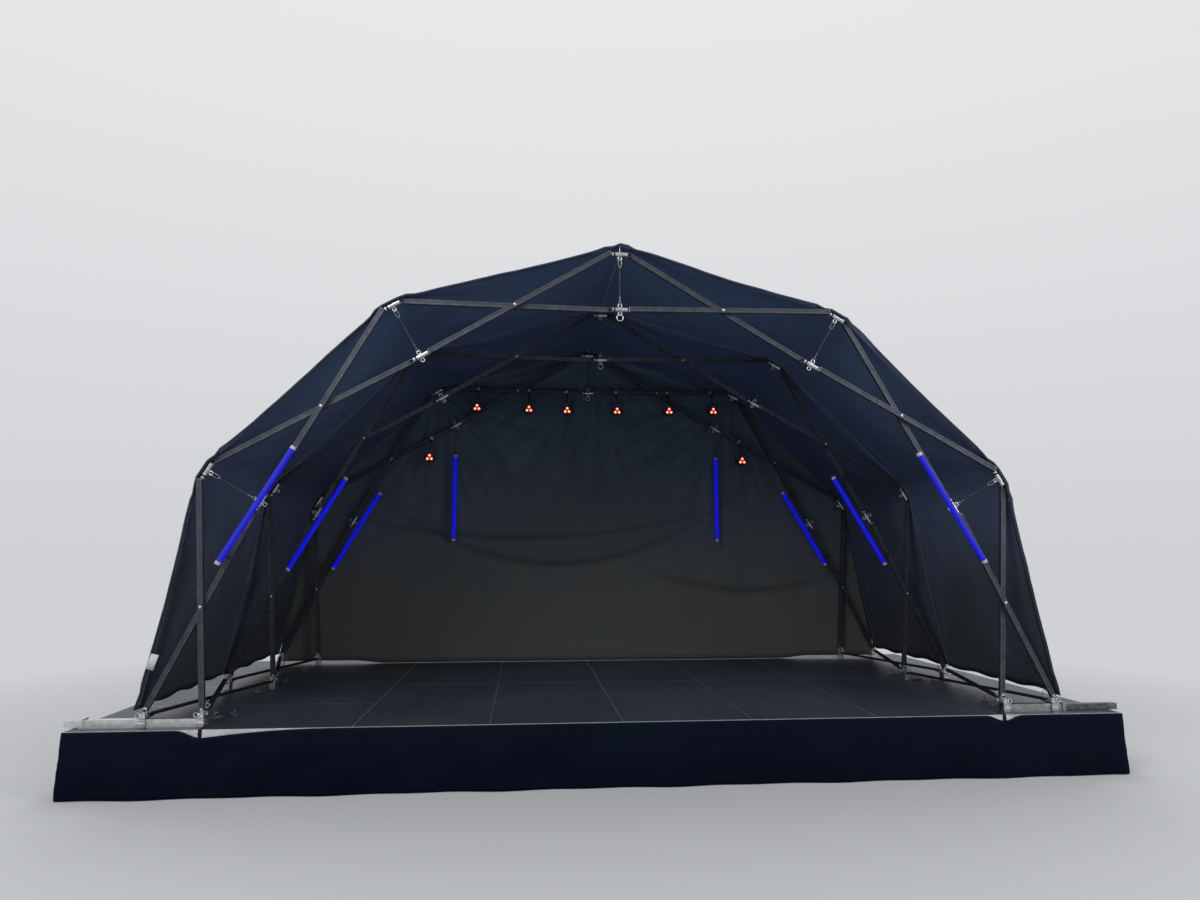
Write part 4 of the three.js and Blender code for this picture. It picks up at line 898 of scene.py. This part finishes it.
# Trims of the cover: welts along the arches, a front band, hem cords and a blank tag
WELT_RADIUS, HEM_CORD_RADIUS = 0.0032, 0.0055
BAND_EDGES = ((0.001, 0.004), (0.046, 0.006))
TAG_RISE, TAG_HEIGHT, TAG_WIDTH, TAG_LEAN, TAG_STEPS = 0.418, 0.110, 0.056, 0.30, 6
for arch, y in ARCHES.items():
    row = min(cover_grid, key=lambda points: abs(points[0][1] - y))
    welt = Form().loop([inside(point, WELT_RADIUS + 0.001) for point in row], WELT_RADIUS, 8, closed=False)
    welt.done(f"{arch}_cover_welt", WELT, "cloth")
band = [[inside((x, y + back, z), depth) for x, y, z in front_edge] for back, depth in BAND_EDGES]
sheet_object("cover_front_band", band, BAND_THICKNESS, BAND)
for hand, end in (("left", 0), ("right", -1)):
    line = [inside(row[end], 0.001) for row in cover_grid]
    cord = Form().loop(line, HEM_CORD_RADIUS, 8, closed=False)
    cord.done(f"cover_hem_{hand}", COVER, "cloth")
tag_middle = deck_top + TAG_RISE + TAG_HEIGHT / 2
tag_x = min(front_edge[:FACET_STEPS], key=lambda point: abs(point[2] - tag_middle))[0]
tag = []
for up in (0, TAG_HEIGHT / 2, TAG_HEIGHT):
    left, low = tag_x + TAG_LEAN * (up - TAG_HEIGHT / 2), deck_top + TAG_RISE + up
    y = front_y - FRONT_REACH - 0.003
    shares = [k / TAG_STEPS for k in range(TAG_STEPS + 1)]
    tag.append([(left + TAG_WIDTH * s, y - 0.004 * sin(s * TAG_STEPS / 2), low - 0.012 * s) for s in shares])
sheet_object("cover_blank_tag", tag, TAG_THICKNESS, TAG)

# Straps between the hubs and the cover, and along the ridge
STRAP_X, STRAP_HALF, STRAP_THICKNESS, STRAP_START = -0.044, 0.0065, 0.0018, 0.012
RIDGE_HALF, RIDGE_RISE, RIDGE_SAG, RIDGE_STEPS = 0.009, 0.030, 0.012, 24
for arch in ARCHES:
    for index in range(1, UNITS):
        straps = Form().rod(*((at, 0, 0) for at in about(STRAP_X, STRAP_HALF)), HUB_RADIUS - 0.002, 28)
        straps.block(STRAP_X, STRAP_HALF, about(0, STRAP_THICKNESS), (STRAP_START, STANDOFF))
        straps.spun(*hub_place(arch, True, index))
        straps.done(f"{arch}_hub_strap_{index}", WEBBING, "cloth")
ridge_z = deck_top + CENTRE_RISE + OUTER_RADIUS + RIDGE_RISE
for bay, start_y in enumerate((front_y, middle_y), 1):
    strap = []
    for k in range(RIDGE_STEPS + 1):
        share = k / RIDGE_STEPS
        y, z = start_y + SPACING * share, ridge_z - RIDGE_SAG * sin(pi * share)
        strap.append([Vector((side * RIDGE_HALF, y, z)) for side in (-1, 1)])
    sheet_object(f"ridge_strap_{bay}", strap, CLOTH_THICKNESS, WELT)


WALL_OFFSET = 1.7 * CLOTH_OFFSET
WALL_BAND_STEPS, WALL_COLUMNS, WALL_TOP_HALF, WALL_SPARE = 24, 190, 0.02, 1.01
CORNER_RISE, WALL_HEM_LOW, WALL_HEM_ENDS = 0.066, 0.003, 0.034
WALL_HEM_TURN, WALL_HEM_SPAN, WALL_HEM_FADE = 2.35, 0.4, 1.2
WALL_LOOSE, FAN_COUNT, FAN_FADE, FAN_FOLD, DRAPE_FOLD = 0.016, 16, 0.42, 0.009, 0.003
HUB_FAN_COUNT, HUB_FAN_REACH, HUB_FAN_FOLD = 31, 0.95, 0.008
SWAG_FOLD, SWAG_OVER = 0.03, 0.06


def wall_rows():
    right = cover_corners(WALL_OFFSET)[UNITS - 1:][::-1]
    slope = (right[1][0] - right[0][0]) / (right[1][1] - right[0][1])
    bands = [(right[0][0] + slope * (CORNER_RISE - right[0][1]), CORNER_RISE)] + right[1:]
    hubs = [hub_centre(True, index) for index in (2, 3, 4)]
    peak = bands[-1][1]
    levels = []
    for (ax, az), (bx, bz) in zip(bands, bands[1:]):
        hangs = hypot(bx - ax, bz - az) > 3 * FLAT_REACH
        steps = WALL_BAND_STEPS if hangs else FLAT_STEPS
        levels += [(between(ax, bx, k / steps), between(az, bz, k / steps)) for k in range(steps)]
    levels.append((WALL_TOP_HALF, peak - 0.004))
    y0 = rear_y + REAR_REACH + 0.006
    rows = []
    for width, z in levels:
        row = []
        for c in range(WALL_COLUMNS + 1):
            x = width * (2 * c / WALL_COLUMNS - 1)
            fade = min(1, min(width - abs(x), peak - z) / FAN_FADE)
            turn = atan2(x, peak - z + FAN_FADE)
            drape = sin(9.3 * x + 1.2 * sin(1.7 * z)) * min(1, 1.2 * (peak - z) / peak)
            folds = WALL_LOOSE + FAN_FOLD * sin(FAN_COUNT * turn) + DRAPE_FOLD * drape
            folds += wrinkle(x, 0, 0.5 * z, 4.2, 0.006)
            for hub_x, hub_z in hubs:
                near = exp(-hypot(x - hub_x, z - hub_z) / HUB_FAN_REACH)
                folds += HUB_FAN_FOLD * near * sin(HUB_FAN_COUNT * atan2(x - hub_x, hub_z - z))
            for low_x, low_z, bend, half, reach in WALL_SWAGS:
                off = deck_top + z - bend * (x - low_x) ** 2 - low_z - SWAG_OVER
                folds += SWAG_FOLD * exp(-(off / half) ** 2) * max(0, 1 - abs(x - low_x) / reach)
            hem = between(WALL_HEM_LOW, WALL_HEM_ENDS, smooth((abs(x) - WALL_HEM_TURN) / WALL_HEM_SPAN))
            lowered = z - (CORNER_RISE - hem) * (1 - smooth((z - CORNER_RISE) / WALL_HEM_FADE))
            row.append((x, y0 + max(0, fade * folds), deck_top + lowered))
        rows.append(row)
    return rows


rows = wall_rows()
wall = sheet_object("wall", rows, CLOTH_THICKNESS, WALL, COVER)
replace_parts(wall, "back_wall")


SKIRT_GAP, SKIRT_STANDOFF, SKIRT_DROP, SKIRT_HEM = 0.003, 0.004, 0.004, 0.006
LEFT_SAG_SPAN, LEFT_LOWEST, LEFT_SAG_DEPTH = (-3.24, -2.12), -3.05, 0.054
RIGHT_LOWEST, RIGHT_SAG_REACH, RIGHT_SAG_DEPTH = 3.02, 0.15, 0.042
SKIRT_SIDE_STEPS, SKIRT_FRONT_STEPS, SKIRT_LEVELS = 60, 280, 24
SKIRT_PITCH, SKIRT_FOLD = 0.64, 0.019
CORNER_LEAN = 0.7071


def skirt_sag(x):
    """How far the skirt's top hangs down at the feet of the front arch."""
    start, end = LEFT_SAG_SPAN
    if start < x <= LEFT_LOWEST:
        return LEFT_SAG_DEPTH * sin(pi / 2 * (x - start) / (LEFT_LOWEST - start)) ** 2
    if LEFT_LOWEST < x < end:
        return LEFT_SAG_DEPTH * (1 - (x - LEFT_LOWEST) / (end - LEFT_LOWEST)) ** 2.1
    near = abs(x - RIGHT_LOWEST) / RIGHT_SAG_REACH
    return RIGHT_SAG_DEPTH * cos(pi / 2 * near) ** 2 if near < 1 else 0


def skirt_path():
    """Places along three sides of the deck, with the way out and the length so far."""
    x, front, back = deck_high.x + SKIRT_GAP, deck_low.y - SKIRT_GAP, deck_high.y
    corners = ((-x, back), (-x, front), (x, front), (x, back))
    steps = (SKIRT_SIDE_STEPS, SKIRT_FRONT_STEPS, SKIRT_SIDE_STEPS)
    run = 0
    for leg, ((ax, ay), (bx, by), count) in enumerate(zip(corners, corners[1:], steps)):
        length = hypot(bx - ax, by - ay)
        for i in range(leg // 2, count + (leg > 0)):
            out = ((-1, 0), (0, -1), (1, 0))[leg]
            if leg == 1 and i in (0, count):
                out = (-CORNER_LEAN if i == 0 else CORNER_LEAN, -CORNER_LEAN)
            yield between(ax, bx, i / count), between(ay, by, i / count), out, run + length * i / count
        run += length


def skirt_rows():
    path = list(skirt_path())
    rows = []
    for level in range(SKIRT_LEVELS + 1):
        share = level / SKIRT_LEVELS
        row = []
        for x, y, (out_x, out_y), run in path:
            head = deck_top - SKIRT_DROP - (skirt_sag(x) if out_y < -0.9 else 0)
            z = between(head, SKIRT_HEM, share)
            turn = 2 * pi * run / SKIRT_PITCH
            waves = 1 + (sin(turn + share) + sin(turn / 2 - 2 * share)) / 2
            slant = 0.004 * sin(2 * pi * (run / 0.9 + 0.8 * share))
            slant += wrinkle(0.5 * run, 0, 1.6 * z, 5, 0.007)
            spread = SKIRT_STANDOFF + max(0, SKIRT_FOLD * share * waves + slant * sin(pi * share))
            row.append((x + out_x * spread, y + out_y * spread, z))
        rows.append(row)
    return rows


rows = skirt_rows()
skirt = sheet_object("skirt", rows, CLOTH_THICKNESS, SKIRT)
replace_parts(skirt, "deck_skirt")


# Seam strips between the boards of each deck module
SEAM_HALF, SEAM_DEPTH, SEAM_RISE = 0.0026, 0.0025, 0.0002
seams = Form()
seam_levels = (deck_top - SEAM_DEPTH, deck_top + SEAM_RISE)
for i in range(1, 5):
    low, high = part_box(f"deck_board_{i}")
    x, half = (low.x + high.x) / 2, (high.x - low.x) / 2
    for share in (0.25, 0.5, 0.75) if i == 1 else (0.5,):
        seams.block(x, half, about(between(deck_low.y, deck_high.y, share), SEAM_HALF), seam_levels)
    if i > 1:
        seams.block(x, SEAM_HALF, (low.y, high.y), seam_levels)
seams.done("deck_seams", PALE, "frame")

# Small ring clamps on the deck, by the feet: X, the place behind the front arch, and the turn
RING_PLACES = (
    (-3.185, 1.53, 0.3), (-3.085, 2.07, -0.4), (-3.11, 0.30, 0.8), (-3.13, 2.93, 0.1),
    (-3.02, 0.40, -0.5), (3.14, 2.12, -0.3), (3.15, 1.97, 0.5), (3.35, 1.60, 0.1),
    (3.24, 1.75, -0.7), (3.18, 0.42, 0.4), (3.14, 0.23, -0.2),
)
for number, (x, behind, turn) in enumerate(RING_PLACES, 1):
    clamp = Form().block(0, 0.026, about(0, 0.017), (0, 0.006))
    clamp.ring((0, 0, 0.024), 0.018, 0.0042, X, Z)
    clamp.ring((0.034, 0, 0.005), 0.014, 0.0036, X, Y)
    clamp.rod((0, -0.009, 0.004), (0, 0.009, 0.004), 0.008, 12)
    bmesh.ops.rotate(clamp.mesh, matrix=Matrix.Rotation(turn, 3, "Z"), verts=clamp.mesh.verts)
    clamp.moved(x, front_y + behind, deck_top).done(f"deck_ring_{number}", DULL, "fitting", bevel=0.001)

# Straps that hold the skirt at the front feet
HOLDER_HALF = 0.013
for hand, x in (("left", -3.065), ("right", 3.02)):
    y, top = deck_low.y, deck_top
    holder = Form().block(x, HOLDER_HALF, (y - 0.0035, y - 0.001), (top - 0.06, top + 0.001))
    holder.block(x, HOLDER_HALF, (y - 0.0035, y + 0.10), (top + 0.0005, top + 0.0025))
    holder.ring((x, y - 0.004, top - 0.03), 0.012, 0.003, X, Z)
    holder.done(f"skirt_strap_{hand}", WEBBING, "cloth", bevel=0.0008)

# Finishes of the solids that keep their shape. The right base beam and its extension take darker finishes
# than their left twins: painted shade.
FINISHES = {
    "deck_board": DECK, "deck_frame": PALE, "floor_brace": BLACK_METAL, "base_beam_left": PALE,
    "base_beam_right": SHADED_ALUMINIUM, "beam_extension_left": PALE, "beam_extension_right": STEEL,
}
for name, node in nodes.items():
    for start, material in FINISHES.items():
        if name.startswith(start):
            node.data.materials.clear()
            node.data.materials.append(material)


# Floor, world and lights. The floor and the background meet in one tone far away.
FLOOR_COLOUR, FLOOR_REACH = (0.485, 0.49, 0.505), 90
HORIZON_TONE, TOP_TONE, TOP_RISE = (0.628, 0.637, 0.660), (0.803, 0.811, 0.826), 0.58
BLEND_START, BLEND_END = 3.6, 10.0
AMBIENT_TONE, AMBIENT_LEVEL = (0.93, 0.96, 1.0), 0.58


def make_floor():
    """A pale floor that turns into the horizon's tone far away."""
    data = bpy.data.meshes.new("floor")
    corners = [(x * FLOOR_REACH, y * FLOOR_REACH, 0) for x, y in ((-1, -1), (1, -1), (1, 1), (-1, 1))]
    data.from_pydata(corners, [], [(0, 1, 2, 3)])
    made = Finish("floor_paper")
    made.set(base_color=FLOOR_COLOUR, roughness=0.95, specular_ior_level=0.05)
    distance = made.add("VectorMath", {0: made.place}, operation="LENGTH").outputs["Value"]
    far = made.span(distance, source=(BLEND_START, BLEND_END), kind="SMOOTHSTEP")
    seen = made.add("LightPath").outputs["Is Camera Ray"]
    glow = made.add("Emission", {"Color": (*HORIZON_TONE, 1)}).outputs[0]
    made.show_mix(made.times(far, seen), made.shader.outputs[0], glow, "Material Output")
    data.materials.append(made.material)
    shown("floor", data)


def make_world():
    """Plain ambient light, and a pale background for the camera and for gloss."""
    world = bpy.data.worlds.new("world")
    scene.world = world
    world.use_nodes = True
    made = Tree(world.node_tree)
    ambient = world.node_tree.nodes["Background"]
    made.give(ambient.inputs["Color"], (*AMBIENT_TONE, 1))
    made.give(ambient.inputs["Strength"], AMBIENT_LEVEL)
    way = made.add("TexCoord").outputs["Generated"]
    rise = made.add("SeparateXYZ", {0: way}).outputs["Z"]
    tone = made.ramp(made.span(rise, source=(0, TOP_RISE)), HORIZON_TONE, TOP_TONE, 0, 1)
    rays = made.add("LightPath").outputs
    seen = rays["Is Camera Ray"]
    for kind in ("Is Glossy Ray", "Is Transmission Ray"):
        seen = made.maths("MAXIMUM", seen, rays[kind])
    backdrop = made.add("Background", {"Color": tone})
    made.show_mix(seen, ambient.outputs[0], backdrop.outputs[0], "World Output")


def area_light(name, place, target, size, power):
    light = bpy.data.lights.new(name, "AREA")
    light.shape, light.size, light.energy = "DISK", size, power
    lamp = shown(name, light)
    lamp.location = place
    lamp.rotation_euler = (Vector(target) - Vector(place)).to_track_quat("-Z", "Y").to_euler()


make_floor()
make_world()
area_light("key", (-6, -9, 9), (0, -1, 1.5), 6, 640)
area_light("fill", (8, -7, 6), (0, 0, 1.5), 6, 330)
area_light("top", (0, 3, 11), (0, 0, 0), 8, 520)
